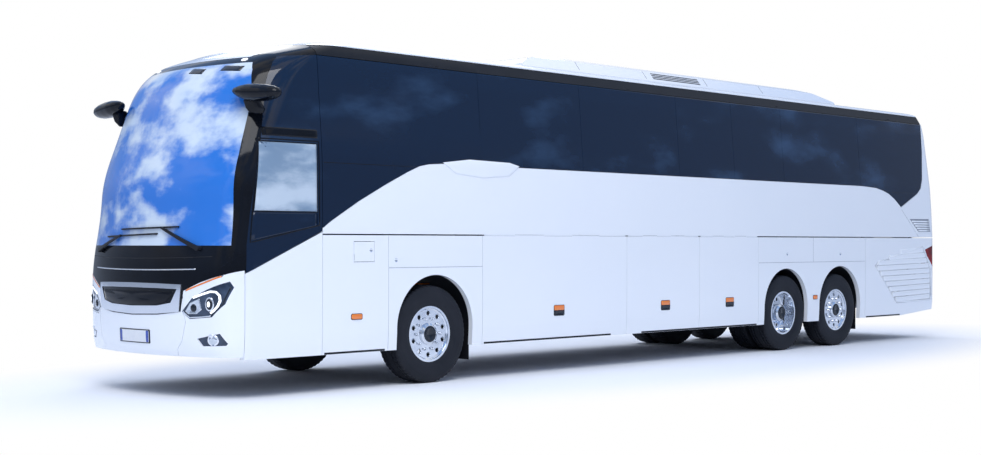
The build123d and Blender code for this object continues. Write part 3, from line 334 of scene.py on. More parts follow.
NODE_FINISH: dict[str, Surface] = {
    name: finish
    for finish, names in (
        (WHITE, "bumpers belt_panels skirts fuel_flap engine_grilles engine_door tail_shell roof roof_unit"),
        (BLACK, "nose_frame front_mask camera_wings"),
        (SCREEN_GLASS, "windscreen"),
        (SIDE_GLASS, "side_glass front_door_glass middle_door_glass"),
        (CHROME, "front_trim"),
        (LENS, "front_lamps"),
        (RED_LENS, "tail_lamps"),
        (PLASTIC, "side_frames wipers wheel_housings dashboard steering_wheel"),
        (FLOOR, "floors entry_steps hold_floor"),
        (IRON, "engine_block"),
        (RUBBER, "mud_flaps"),
        (CLOTH, "seats"),
        (GREY, "luggage_racks"),
        (DOOR, "front_door_leaf middle_door_leaf"),
    )
    for name in names.split()
}


def finish_for(node: str) -> Surface:
    """The finish of a part by its name; the running gear is black steel."""
    for mark, finish in (("luggage_flap", WHITE), ("tyre", TYRE), ("_rim", ALLOY)):
        if mark in node:
            return finish
    return NODE_FINISH.get(node, STEEL)


def paint(nodes: dict[str, Item]) -> None:
    """Gives every part of the frame its finish."""
    for name, item in nodes.items():
        material = finish_for(name).make()
        if not item.material_slots:
            item.data.materials.append(material)
        for place in item.material_slots:
            place.material = material


@dataclass
class Maker:
    """Builds meshes and hands them to the frame."""

    body: str = "coach"

    def add(self, name: str, verts: Sequence[Point], faces: Sequence[Sequence[int]], finish: Finish, slot: str,
            bevel: float = 0.0, smooth: bool = False, body: str | None = None) -> Item:
        """Makes one object from points and faces.

        Args:
            name: Piece name.
            verts: Points in metres in the row frame.
            faces: Point numbers of each face.
            finish: The finish it gets.
            slot: Not used; the material slot of the record that it stands for.
            bevel: Width of the rounded edges.
            smooth: Whether faces are shaded smooth.
            body: Body that it rides on; the maker's own where none is given.

        Returns:
            The new object.
        """
        mesh = bpy.data.meshes.new(name)
        mesh.from_pydata([tuple(v) for v in verts], [], [tuple(f) for f in faces])
        work = bmesh.new()
        work.from_mesh(mesh)
        bmesh.ops.recalc_face_normals(work, faces=work.faces)
        work.to_mesh(mesh)
        work.free()
        item = put(name, mesh)
        mesh.materials.append(finish.make())
        if smooth:
            for face in mesh.polygons:
                face.use_smooth = True
        if bevel > 0.0:
            mod = item.modifiers.new("edges", "BEVEL")
            mod.width = bevel
            mod.segments = 2
            mod.limit_method = "ANGLE"
        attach(item, body or self.body)
        return item

    def box(self, name: str, low: Point, high: Point, finish: Finish, slot: str, bevel: float = 0.004) -> Item:
        """Box between two corners, with rounded edges."""
        (x0, y0, z0), (x1, y1, z1) = low, high
        verts = [(x, y, z) for x in (x0, x1) for y in (y0, y1) for z in (z0, z1)]
        faces = [(0, 1, 3, 2), (4, 6, 7, 5), (0, 4, 5, 1), (2, 3, 7, 6), (0, 2, 6, 4), (1, 5, 7, 3)]
        return self.add(name, verts, faces, finish, slot, bevel)

    def lathe(self, name: str, profile: Outline, centre: Point, outward: float, finish: Finish, slot: str, body: str,
              steps: int = 64) -> Item:
        """Turns a profile of (distance along the axle, radius) about an axle that runs across the coach."""
        verts = []
        for i in range(steps):
            angle = TURN * i / steps
            for reach, radius in profile:
                verts.append((centre[0] + outward * reach, centre[1] + radius * math.cos(angle),
                              centre[2] + radius * math.sin(angle)))
        faces = quads(steps, len(profile), rows_close=True, count_closes=False)
        return self.add(name, verts, faces, finish, slot, smooth=True, body=body)

    def tube(self, name: str, points: Sequence[Point], radius: float, finish: Finish, slot: str,
             sides: int = 10) -> Item:
        """Round bar through a few points."""
        verts = []
        line = [Vector(p) for p in points]
        for i, p in enumerate(line):
            ahead = (line[min(i + 1, len(line) - 1)] - line[max(i - 1, 0)]).normalized()
            across = ahead.orthogonal().normalized()
            up = ahead.cross(across)
            for k in range(sides):
                a = TURN * k / sides
                verts.append(tuple(p + radius * (math.cos(a) * across + math.sin(a) * up)))
        return self.add(name, verts, quads(len(line), sides, caps=True), finish, slot, smooth=True)


class Look(Enum):
    """A direction of view.

    Each value holds where the view points, how far before the coach's middle it starts, and how far from
    there the skin lies about.
    """

    FRONT = ((0.0, 1.0, 0.0), 12.0, 5.2)
    REAR = ((0.0, -1.0, 0.0), 12.0, 5.2)
    LEFT = ((-1.0, 0.0, 0.0), 3.0, 1.8)
    RIGHT = ((1.0, 0.0, 0.0), 3.0, 1.8)


class Skin:
    """Outer surface of some parts, onto which small trim is laid."""

    def __init__(self, nodes: dict[str, Item], names: Sequence[str]) -> None:
        """Keeps one search tree of all the named parts."""
        verts: list[Vector] = []
        faces: Faces = []
        for name in names:
            mesh = nodes[name].data
            base = len(verts)
            verts.extend(v.co.copy() for v in mesh.vertices)
            faces.extend(tuple(base + i for i in p.vertices) for p in mesh.polygons)
        self.tree = BVHTree.FromPolygons(verts, faces)

    def spot(self, look: Look, u: float, z: float) -> tuple[Vector, Vector]:
        """Point and normal where a view line meets the surface.

        Args:
            look: Direction of the view.
            u: x for the front and rear, or the station for the sides.
            z: Height above the ground.

        Returns:
            The point and the outward normal.
        """
        way, before, depth = look.value
        way = Vector(way)
        foot = (u, 0.0, z) if look in (Look.FRONT, Look.REAR) else (0.0, along(u), z)
        start = Vector(foot) - way * before
        hit, normal, _, _ = self.tree.ray_cast(start, way)
        if hit is None:
            return self.tree.find_nearest(start + way * depth)[0], -way
        if normal.dot(way) > 0.0:
            normal = -normal
        return hit, normal

    def bridged(self, look: Look, u: float, z: float, level: float | None) -> tuple[Vector, Vector]:
        """As spot, but where a level is given, the skin is felt at that height and carried to z."""
        if level is None:
            return self.spot(look, u, z)
        hit, normal = self.spot(look, u, level)
        hit.z, normal.z = z, 0.0
        return hit, normal


def rounded(points: Outline, step: float, closed: bool = True) -> list[Spot]:
    """Outline with extra points, so that it follows a curved surface."""
    out: list[Spot] = []
    count = len(points)
    for i in range(count if closed else count - 1):
        a, b = points[i], points[(i + 1) % count]
        parts = max(1, int(math.hypot(b[0] - a[0], b[1] - a[1]) / step))
        out.extend((a[0] + (b[0] - a[0]) * k / parts, a[1] + (b[1] - a[1]) * k / parts) for k in range(parts))
    if not closed:
        out.append(points[-1])
    return out


def disc(u: float, z: float, wide: float, high: float | None = None, count: int = 28) -> list[Spot]:
    """Ellipse as an outline."""
    tall = wide if high is None else high
    return [(u + wide * math.cos(TURN * i / count), z + tall * math.sin(TURN * i / count)) for i in range(count)]


def slab(u0: float, u1: float, z0: float, z1: float, cut: float) -> list[Spot]:
    """Rectangle with small corners cut, as an outline."""
    return [(u0 + cut, z0), (u1 - cut, z0), (u1, z0 + cut), (u1, z1 - cut), (u1 - cut, z1), (u0 + cut, z1),
            (u0, z1 - cut), (u0, z0 + cut)]


SHEET: tuple[Spot, ...] = tuple((1.0 - 0.1 * i, 0.002) for i in range(10))
HOLDER: tuple[Spot, ...] = ((1.0, 0.001), (0.99, 0.006), (0.95, 0.006))
PLATE_FACE: tuple[Spot, ...] = ((1.0, 0.006), (0.995, 0.0085), (0.9, 0.0085))
FINE_STEP = 0.01


@dataclass
class Trim:
    """Lays small forms on one face of the coach's skin; outlines are points as (u, z)."""

    make: Maker
    skin: Skin
    look: Look
    sink: float = 0.001

    def dome(self, name: str, outline: Outline, profile: Outline, finish: Finish, slot: str,
             body: str | None = None, step: float = 0.02, level: float | None = None) -> None:
        """Raised form over an outline.

        Args:
            name: Piece name.
            outline: Points as (u, z).
            profile: Rows of (share of the outline's size, height above the skin), from the rim inward.
            finish: The finish it gets.
            slot: Material slot that it stands for.
            body: Body that it rides on.
            step: Spacing of the points along the rim.
            level: Height at which the skin is felt, where the form bridges a seam.
        """
        rim = rounded(outline, step)
        cu = sum(p[0] for p in outline) / len(outline)
        cz = sum(p[1] for p in outline) / len(outline)
        verts: list[Point] = []
        rows = [(profile[0][0], -self.sink)] + list(profile)
        count = len(rim)
        for share, height in rows:
            for u, z in rim:
                hit, normal = self.skin.bridged(self.look, cu + (u - cu) * share, cz + (z - cz) * share, level)
                verts.append(tuple(hit + normal * height))
        hit, normal = self.skin.bridged(self.look, cu, cz, level)
        verts.append(tuple(hit + normal * rows[-1][1]))
        verts.append(tuple(hit - normal * self.sink))
        faces = quads(len(rows), count)
        top, bottom = len(verts) - 2, len(verts) - 1
        last = (len(rows) - 1) * count
        for i in range(count):
            j = (i + 1) % count
            faces.append((last + i, last + j, top))
            faces.append((j, i, bottom))
        self.make.add(name, verts, faces, finish, slot, smooth=True, body=body)

    def ribbon(self, name: str, line: Outline, width: float, proud: float, finish: Finish, slot: str,
               body: str | None = None, step: float = 0.04, closed: bool = False, level: float | None = None) -> None:
        """Narrow strip with softened edges along a line; the last values are as for a dome."""
        points = rounded(line, step, closed)
        count = len(points)
        verts: list[Point] = []
        shape = ((-0.5, -self.sink), (-0.5, proud * 0.6), (-0.3, proud), (0.3, proud), (0.5, proud * 0.6),
                 (0.5, -self.sink))
        for i, (u, z) in enumerate(points):
            before = points[(i - 1) % count] if closed else points[max(i - 1, 0)]
            after = points[(i + 1) % count] if closed else points[min(i + 1, count - 1)]
            du, dz = after[0] - before[0], after[1] - before[1]
            size = math.hypot(du, dz) or 1.0
            nu, nz = -dz / size, du / size
            for share, height in shape:
                hit, normal = self.skin.bridged(self.look, u + nu * share * width, z + nz * share * width, level)
                verts.append(tuple(hit + normal * height))
        n = len(shape)
        faces = quads(count, n, rows_close=closed)
        if not closed:
            faces.append(tuple(range(n)))
            faces.append(tuple((count - 1) * n + k for k in reversed(range(n))))
        self.make.add(name, verts, faces, finish, slot, smooth=True, body=body)


@dataclass
class Studio:
    """Camera, sky, lamps and floor; the camera's values were fitted to the photograph."""

    azimuth: float = 44.346
    place: Point = (12.7726, -14.9775, 1.4911)
    focal_pixels: float = 1485.06
    picture_width: int = 981
    drop_pixels: float = 15.806
    sensor: float = 36.0
    floor_half: float = 60.0
    shadow_half: Spot = (3.4, 9.0)

    def camera(self) -> None:
        """Camera at the photograph's viewing angle."""
        data = bpy.data.cameras.new("camera")
        data.sensor_width = self.sensor
        data.lens = self.focal_pixels / self.picture_width * self.sensor
        data.shift_y = self.drop_pixels / self.picture_width
        data.clip_end = 200.0
        item = put("camera", data)
        item.location = self.place
        item.rotation_euler = (math.radians(90.0), 0.0, math.radians(self.azimuth))
        bpy.context.scene.camera = item

    def sky(self) -> None:
        """Soft cloudy sky that lights the coach; the camera sees plain white."""
        world = bpy.data.worlds.new("sky")
        bpy.context.scene.world = world
        world.use_nodes = True
        tree = world.node_tree
        tree.nodes.clear()
        place = grow(tree, "TexCoord").outputs["Generated"]
        drawn = grow(tree, "Mapping", {"Scale": (1.0, 1.0, 2.6)}, {"Vector": place})
        clouds = grow(tree, "TexNoise", {"Scale": 2.4, "Detail": 7.0, "Roughness": 0.55},
                      {"Vector": drawn.outputs["Vector"]})
        cover = ramp(tree, clouds.outputs["Fac"], ((0.44, (0.30, 0.48, 0.86)), (0.60, (1.0, 1.0, 1.0))))
        height = grow(tree, "SeparateXYZ", feeds={"Vector": place}).outputs["Z"]
        low = grow(tree, "MapRange", {"From Min": 0.10, "From Max": 0.42}, {"Value": height})
        ground = grow(tree, "Mix", {"A": (0.30, 0.36, 0.48, 1.0)}, {"Factor": low.outputs["Result"], "B": cover},
                      data_type="RGBA")
        light = grow(tree, "Background", {"Strength": 1.0}, {"Color": ground.outputs["Result"]})
        plain = grow(tree, "Background", {"Color": (1.0, 1.0, 1.0, 1.0), "Strength": 1.0})
        seen = grow(tree, "LightPath").outputs["Is Camera Ray"]
        choose = grow(tree, "MixShader", feeds={"Fac": seen, 1: light.outputs["Background"],
                                                2: plain.outputs["Background"]})
        grow(tree, "OutputWorld", feeds={"Surface": choose.outputs["Shader"]})

    def lamps(self) -> None:
        """High soft lamp from the front left, and a weaker one from the rear right."""
        for name, spot, size, power in (("key", (9.0, -12.0, 14.0), 9.0, 1500.0),
                                        ("fill", (-10.0, 6.0, 12.0), 10.0, 700.0)):
            data = bpy.data.lights.new(name, "AREA")
            data.size = size
            data.energy = power
            item = put(name, data)
            item.location = spot
            item.rotation_euler = (-Vector(spot)).to_track_quat("-Z", "Y").to_euler()

    def floor(self) -> None:
        """Pale floor that keeps the coach's shadow and fades into white around it."""
        mesh = bpy.data.meshes.new("ground")
        far = self.floor_half
        mesh.from_pydata([(-far, -far, 0), (far, -far, 0), (far, far, 0), (-far, far, 0)], [], [(0, 1, 2, 3)])
        item = put("ground", mesh)
        material = bpy.data.materials.new("ground")
        material.use_nodes = True
        tree = material.node_tree
        shader = wire(tree, tree.nodes["Principled BSDF"], {"Base Color": (0.93, 0.94, 0.97, 1.0), "Roughness": 0.9,
                                                            "Specular IOR Level": 0.1})
        half_x, half_y = self.shadow_half
        squash = grow(tree, "Mapping", {"Scale": (1.0 / half_x, 1.0 / half_y, 0.0)},
                      {"Vector": grow(tree, "TexCoord").outputs["Object"]})
        reach = grow(tree, "VectorMath", feeds={0: squash.outputs["Vector"]}, operation="LENGTH")
        fade = grow(tree, "MapRange", {"From Min": 0.75, "From Max": 1.25}, {"Value": reach.outputs["Value"]},
                    interpolation_type="SMOOTHSTEP")
        path = grow(tree, "LightPath").outputs
        seen = grow(tree, "Math", feeds={0: path["Is Camera Ray"], 1: path["Is Transmission Ray"]},
                    operation="MAXIMUM")
        both = grow(tree, "Math", feeds={0: seen.outputs["Value"], 1: fade.outputs["Result"]}, operation="MULTIPLY")
        white = grow(tree, "Emission", {"Strength": 1.0})
        mix = grow(tree, "MixShader", feeds={"Fac": both.outputs["Value"], 1: shader.outputs["BSDF"],
                                             2: white.outputs["Emission"]})
        tree.links.new(mix.outputs["Shader"], tree.nodes["Material Output"].inputs["Surface"])
        mesh.materials.append(material)

    def build(self) -> None:
        """Sets the whole studio up."""
        self.camera()
        self.sky()
        self.lamps()
        self.floor()
        bpy.context.scene.view_settings.view_transform = "Standard"


@dataclass
class Wheel:
    """Tyre, hand-hole rings, nuts and hub cap of one wheel.

    Attributes:
        name: Start of the names of its pieces.
        body: Body that it rides on.
        side: Side of the coach.
        y: Place of the axle along the coach.
        tyre_node: Part that the tyres stand for.
        tyres: x of each tyre, the outer one first.
        disc: How far the face of the rim's disc lies outward of the tyre's middle.
        cap_span: Where the hub cap begins and ends, from the tyre's middle outward.
    """

    name: str
    body: str
    side: Side
    y: float
    tyre_node: str
    tyres: tuple[float, ...]
    disc: float = 0.096
    cap_span: tuple[float, float] = (0.128, 0.142)
    radius: float = 0.522
    nuts: int = 10
    nut_circle: float = 0.1675
    hole_circle: float = 0.222
    hole_radius: float = 0.026
    cap_radius: float = 0.086
    lip_radius: float = 0.2985
    tread_steps: int = 168
    notch_depth: float = 0.007
    nut: tuple[Spot, ...] = ((-0.001, 0.0), (-0.001, 0.0185), (0.006, 0.0185), (0.008, 0.0155), (0.030, 0.0135),
                             (0.035, 0.010), (0.036, 0.0))
    hole_ring: tuple[Spot, ...] = ((-0.018, -0.003), (-0.001, -0.003), (0.003, 0.0), (0.003, 0.003), (-0.003, 0.008))
    sidewall: tuple[Spot, ...] = (
        (0.119, 0.2915), (0.119, 0.3005), (0.132, 0.312), (0.1375, 0.330), (0.1395, 0.334), (0.1395, 0.340),
        (0.143, 0.348), (0.1465, 0.372), (0.1482, 0.405), (0.1489, 0.430), (0.1478, 0.446), (0.1462, 0.450),
        (0.1462, 0.456), (0.1448, 0.470), (0.140, 0.492),
    )
    tread: tuple[tuple[float, float, bool], ...] = (
        (0.133, 0.508, True), (0.122, 0.517, True), (0.098, 0.5205, True), (0.096, 0.506, False), (0.088, 0.506, False),
        (0.086, 0.5212, True), (0.052, 0.5218, True), (0.050, 0.507, False), (0.042, 0.507, False),
        (0.040, 0.5218, False), (0.008, 0.522, False),
    )

    def tyre(self, make: Maker, name: str, x: float) -> Item:
        """Tyre with ribs, cross cuts and sidewall steps; each point is (along the axle, radius, whether it is cut)."""
        half = [(a, r, False) for a, r in self.sidewall] + list(self.tread)
        profile = half + [(-a, r, cut) for a, r, cut in reversed(half)]
        verts = []
        for i in range(self.tread_steps):
            angle = TURN * i / self.tread_steps
            for a, r, cut in profile:
                notch = self.notch_depth if cut and (i + (1 if a < 0 else 0)) % 3 == 0 else 0.0
                verts.append((x + a, self.y + (r - notch) * math.cos(angle),
                              self.radius + (r - notch) * math.sin(angle)))
        faces = quads(self.tread_steps, len(profile), rows_close=True)
        return make.add(name, verts, faces, TYRE, "tyre", body=self.body)

    def build(self, make: Maker) -> None:
        """Adds the pieces of the wheel; the tyres take the place of the plain rings."""
        for i, x in enumerate(self.tyres):
            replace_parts(self.tyre(make, f"{self.tyre_node}_{i}", x), self.tyre_node)
        turned = partial(make.lathe, outward=float(self.side.value), body=self.body)
        middle = (self.tyres[0], self.y, self.radius)
        face = self.disc + 0.002
        nut = [(face + a, r) for a, r in self.nut]
        ring = [(face + a, self.hole_radius + r) for a, r in self.hole_ring]
        for i in range(self.nuts):
            angle = TURN * i / self.nuts
            turned(f"{self.name}_nut_{i}", nut, self.around(self.nut_circle, angle), finish=CHROME, slot="alloy",
                   steps=12)
            turned(f"{self.name}_hole_{i}", ring, self.around(self.hole_circle, angle + math.pi / self.nuts),
                   finish=ALLOY, slot="alloy", steps=28)
        cap, (low, top) = self.cap_radius, self.cap_span
        profile = [(low - 0.03, cap + 0.004), (low, cap + 0.004), (low + 0.006, cap), (top - 0.004, cap - 0.006),
                   (top, cap - 0.014), (top, 0.060), (top - 0.006, 0.055), (top - 0.004, 0.0)]
        turned(f"{self.name}_cap", profile, middle, finish=BEZEL, slot="steel_black")
        edge = self.lip_radius
        lip = [(0.1192, edge - 0.020), (0.1245, edge - 0.017), (0.1248, edge - 0.004), (0.1235, edge),
               (0.119, edge - 0.001)]
        turned(f"{self.name}_lip", lip, middle, finish=CHROME, slot="alloy", steps=96)

    def around(self, radius: float, angle: float) -> Point:
        """Point on a circle about the axle."""
        return (self.tyres[0], self.y + radius * math.cos(angle), self.radius + radius * math.sin(angle))


@dataclass
class SideTrim:
    """Handles, markers, locks, seams and the sill strip along one side, as stations and heights.

    Attributes:
        side: Side of the coach.
        trim: Lays the forms on that side.
        handles: Start and body of each flap's handle.
        seams: Lines of the fine panel seams.
        sills: Start and end of each sill strip.
        locks: Places of the round locks.
        markers: Start, height and length of each side marker.
        marks: Stations of the drip marks on the rail above the glass.
    """

    side: Side
    trim: Trim
    handles: tuple[tuple[float, str], ...]
    seams: tuple[Outline, ...]
    sills: tuple[Spot, ...]
    locks: tuple[Spot, ...] = ((2.35, 1.314), (9.664, 1.339), (11.056, 1.334))
    markers: tuple[Point, ...] = ((1.743, 0.747, 0.143), (10.33, 0.723, 0.11))
    marks: tuple[float, ...] = (3.03, 6.29, 9.56, 12.61)
    handle_length: float = 0.175
    handle_low: float = 0.655
    handle_high: float = 0.770
    handle_split: float = 0.002
    border: float = 0.006
    marker_half: float = 0.026
    mark_half: float = 0.022
    mark_span: Spot = (3.388, 3.402)
    sill_height: float = 0.392

    def handle_pieces(self) -> None:
        """Recessed handle of each flap, with its red top half and dark lower half."""
        low, high, border, split = self.handle_low, self.handle_high, self.border, self.handle_split
        mid = (low + high) / 2
        for start, body in self.handles:
            end = start + self.handle_length
            for label, outline, profile, finish in (
                ("frame", slab(start - border, end + border, low - border, high + border, 0.012),
                 ((1.0, 0.0015), (0.985, 0.003), (0.95, 0.003)), SEAM),
                ("pull", slab(start, end, mid + split, high, 0.008),
                 ((1.0, 0.003), (0.97, 0.007), (0.8, 0.009)), AMBER),
                ("cup", slab(start, end, low, mid - split, 0.008),
                 ((1.0, 0.003), (0.97, 0.006), (0.8, 0.0045)), BEZEL),
            ):
                self.trim.dome(f"handle_{label}_{self.tag(start)}", outline, profile, finish, "black_plastic", body)

    def marker_pieces(self) -> None:
        """Amber side markers in dark frames."""
        half = self.marker_half
        outer = half + self.border
        for start, height, length in self.markers:
            end = start + length
            self.trim.dome(f"marker_frame_{self.tag(start)}",
                           slab(start - self.border, end + self.border, height - outer, height + outer, 0.012),
                           ((1.0, 0.001), (0.98, 0.003), (0.95, 0.003)), SEAM, "black_plastic")
            self.trim.dome(f"marker_{self.tag(start)}", slab(start, end, height - half, height + half, 0.012),
                           ((1.0, 0.003), (0.96, 0.009), (0.7, 0.0115)), AMBER, "black_plastic")

    def tag(self, station: float) -> str:
        """End of a piece's name: the side and the station in centimetres."""
        return f"{self.side.word}_{int(station * 100)}"

    def lock(self, name: str, station: float, height: float, body: str | None = None) -> None:
        """Round lock cover."""
        profile = ((1.0, 0.0005), (0.96, 0.0022), (0.78, 0.0026), (0.74, 0.0012), (0.3, 0.0012))
        self.trim.dome(name, disc(station, height, 0.021), profile, CHROME, "black_plastic", body, FINE_STEP)

    def build(self) -> None:
        """Adds what both sides have."""
        word = self.side.word
        self.handle_pieces()
        self.marker_pieces()
        for number, station in enumerate(self.marks):
            outline = slab(station - self.mark_half, station + self.mark_half, *self.mark_span, 0.005)
            self.trim.dome(f"rail_mark_{word}_{number}", outline, ((1.0, 0.0008), (0.9, 0.002), (0.5, 0.0025)),
                           RUBBER, "black_plastic")
        for number, (start, end) in enumerate(self.sills):
            line = ((start, self.sill_height), (end, self.sill_height))
            self.trim.ribbon(f"sill_{word}_{number}", line, 0.020, 0.003, PLASTIC, "black_plastic", step=0.3)
        for number, line in enumerate(self.seams):
            self.trim.ribbon(f"seam_{word}_{number}", line, 0.005, 0.0006, FINE_SEAM, "black_plastic", step=0.08)
        for number, (station, height) in enumerate(self.locks):
            self.lock(f"lock_{word}_{number}", station, height)


@dataclass
class LeftSide(SideTrim):
    """The driver's side, with its window, badge place, engine louvres and pillar grille."""

    badge: Outline = ((3.03, 2.359), (3.435, 2.406), (4.07, 2.394), (4.234, 2.36), (4.064, 2.243), (3.635, 2.21),
                      (3.224, 2.245))
    badge_level: float = 2.18
    grille: Outline = ((13.06, 1.885), (13.70, 1.892), (13.765, 1.655), (13.35, 1.652))
    grille_middle: Spot = (13.50, 1.77)
    louvre: Outline = ((12.692, 0.585), (12.060, 1.140), (12.160, 1.215), (13.480, 1.432), (13.560, 1.39),
                       (13.770, 1.070), (13.800, 0.66), (13.74, 0.60))
    louvre_level: float = 0.52
    louvre_count: int = 10
    louvre_low: float = 0.625
    louvre_pitch: float = 0.081
    slat_start: Spot = (13.36, 1.69)
    slat_shift: Spot = (0.052, 0.036)
    slat_end: float = 13.715
    slat_count: int = 5
    fuel_lock: Spot = (2.005, 1.42)
    rear_marker: Spot = (13.32, 0.70)
    pane: tuple[Spot, ...] = ((0.615, 2.475), (1.305, 2.475), (1.305, 1.80), (0.535, 1.80))
    pane_low: Outline = ((0.525, 1.785), (1.305, 1.785), (1.305, 1.665), (0.50, 1.52))
    frame: tuple[Spot, ...] = ((0.60, 2.50), (1.33, 2.50), (1.33, 1.67), (0.49, 1.50))
    glass_seams: tuple[Outline, ...] = (((1.39, 2.297), (2.66, 2.297)), ((12.46, 2.273), (13.32, 2.273)))

    def build(self) -> None:
        """Adds everything on this side."""
        super().build()
        self.lock("fuel_lock_left", *self.fuel_lock, "fuel_flap")
        self.driver_window()
        self.trim.dome("badge_place", self.badge, ((1.0, 0.001), (0.97, 0.006), (0.86, 0.009), (0.5, 0.0105)), WHITE,
                       "white_paint", step=0.05, level=self.badge_level)
        self.pillar_grille_frame()
        self.engine_louvres()
        self.trim.dome("rear_marker", disc(*self.rear_marker, 0.02, 0.016), ((1.0, 0.010), (0.8, 0.013), (0.4, 0.015)),
                       AMBER, "black_plastic", step=FINE_STEP)
        (first, low), (shift, rise) = self.slat_start, self.slat_shift
        for number in range(self.slat_count):
            z = low + number * rise
            self.trim.ribbon(f"pillar_slat_{number}", ((first - number * shift, z), (self.slat_end, z)), 0.024, 0.011,
                             WHITE, "white_paint", step=0.1)

    def pillar_grille_frame(self) -> None:
        """Raised frame of the grille on the rear pillar, with a grey back inside it."""
        self.trim.dome("pillar_frame", self.grille, ((1.0, 0.001), (0.98, 0.005), (0.93, 0.005)), WHITE, "white_paint")
        mid_u, mid_z = self.grille_middle
        back = [(u * 0.93 + mid_u * 0.07, z * 0.86 + mid_z * 0.14) for u, z in self.grille]
        self.trim.dome("pillar_back", back, ((1.0, 0.0052), (0.9, 0.0054)), FINE_SEAM, "white_paint")

    def engine_louvres(self) -> None:
        """White slats before the engine, laid level over the openings; their ends follow the slanted edge."""
        white = partial(self.trim.ribbon, finish=WHITE, slot="white_paint", level=self.louvre_level)
        white("louvre_edge", self.louvre, 0.016, 0.012, step=0.05, closed=True)
        for number in range(self.louvre_count):
            z = self.louvre_low + number * self.louvre_pitch
            start = 12.66 - max(0.0, z - 0.60) * 1.13 + max(0.0, z - 1.17) * 5.2
            end = 13.77 if z < 1.07 else 13.77 - (z - 1.07) * 0.72
            white(f"louvre_{number}", ((start + 0.02, z), (end - 0.01, z + 0.03)), 0.077, 0.009, step=0.06)

    def driver_window(self) -> None:
        """Clear pane of the driver's window, its colour a painted reflection of the sky, in its dark frame, the black
        band above it and the seams of the glass.
        """
        self.trim.dome("driver_pane", self.pane, SHEET, PANE_GLASS, "dark_glass", step=0.04)
        self.trim.dome("driver_pane_low", self.pane_low, SHEET, SIDE_GLASS, "dark_glass", step=0.05)
        black = partial(self.trim.ribbon, finish=BLACK, slot="black_gloss")
        for number, line in enumerate((self.pane, self.frame)):
            black(f"driver_pane_edge_{number}", line + line[:1], 0.012, 0.003)
        black("driver_band", ((0.66, 2.573), (1.37, 2.573)), 0.085, 0.002, step=0.05)
        for number, line in enumerate(self.glass_seams):
            black(f"glass_seam_{number}", line, 0.006, 0.0008, step=0.08)


@dataclass
class RightSide(SideTrim):
    """The door side, with handles and locks as on such coaches."""

    def build(self) -> None:
        """Adds everything on this side."""
        super().build()
        self.trim.dome("front_door_button", disc(1.255, 1.05, 0.022), ((1.0, 0.001), (0.9, 0.006), (0.6, 0.008)),
                       CHROME, "black_plastic", "front_door_leaf", FINE_STEP)


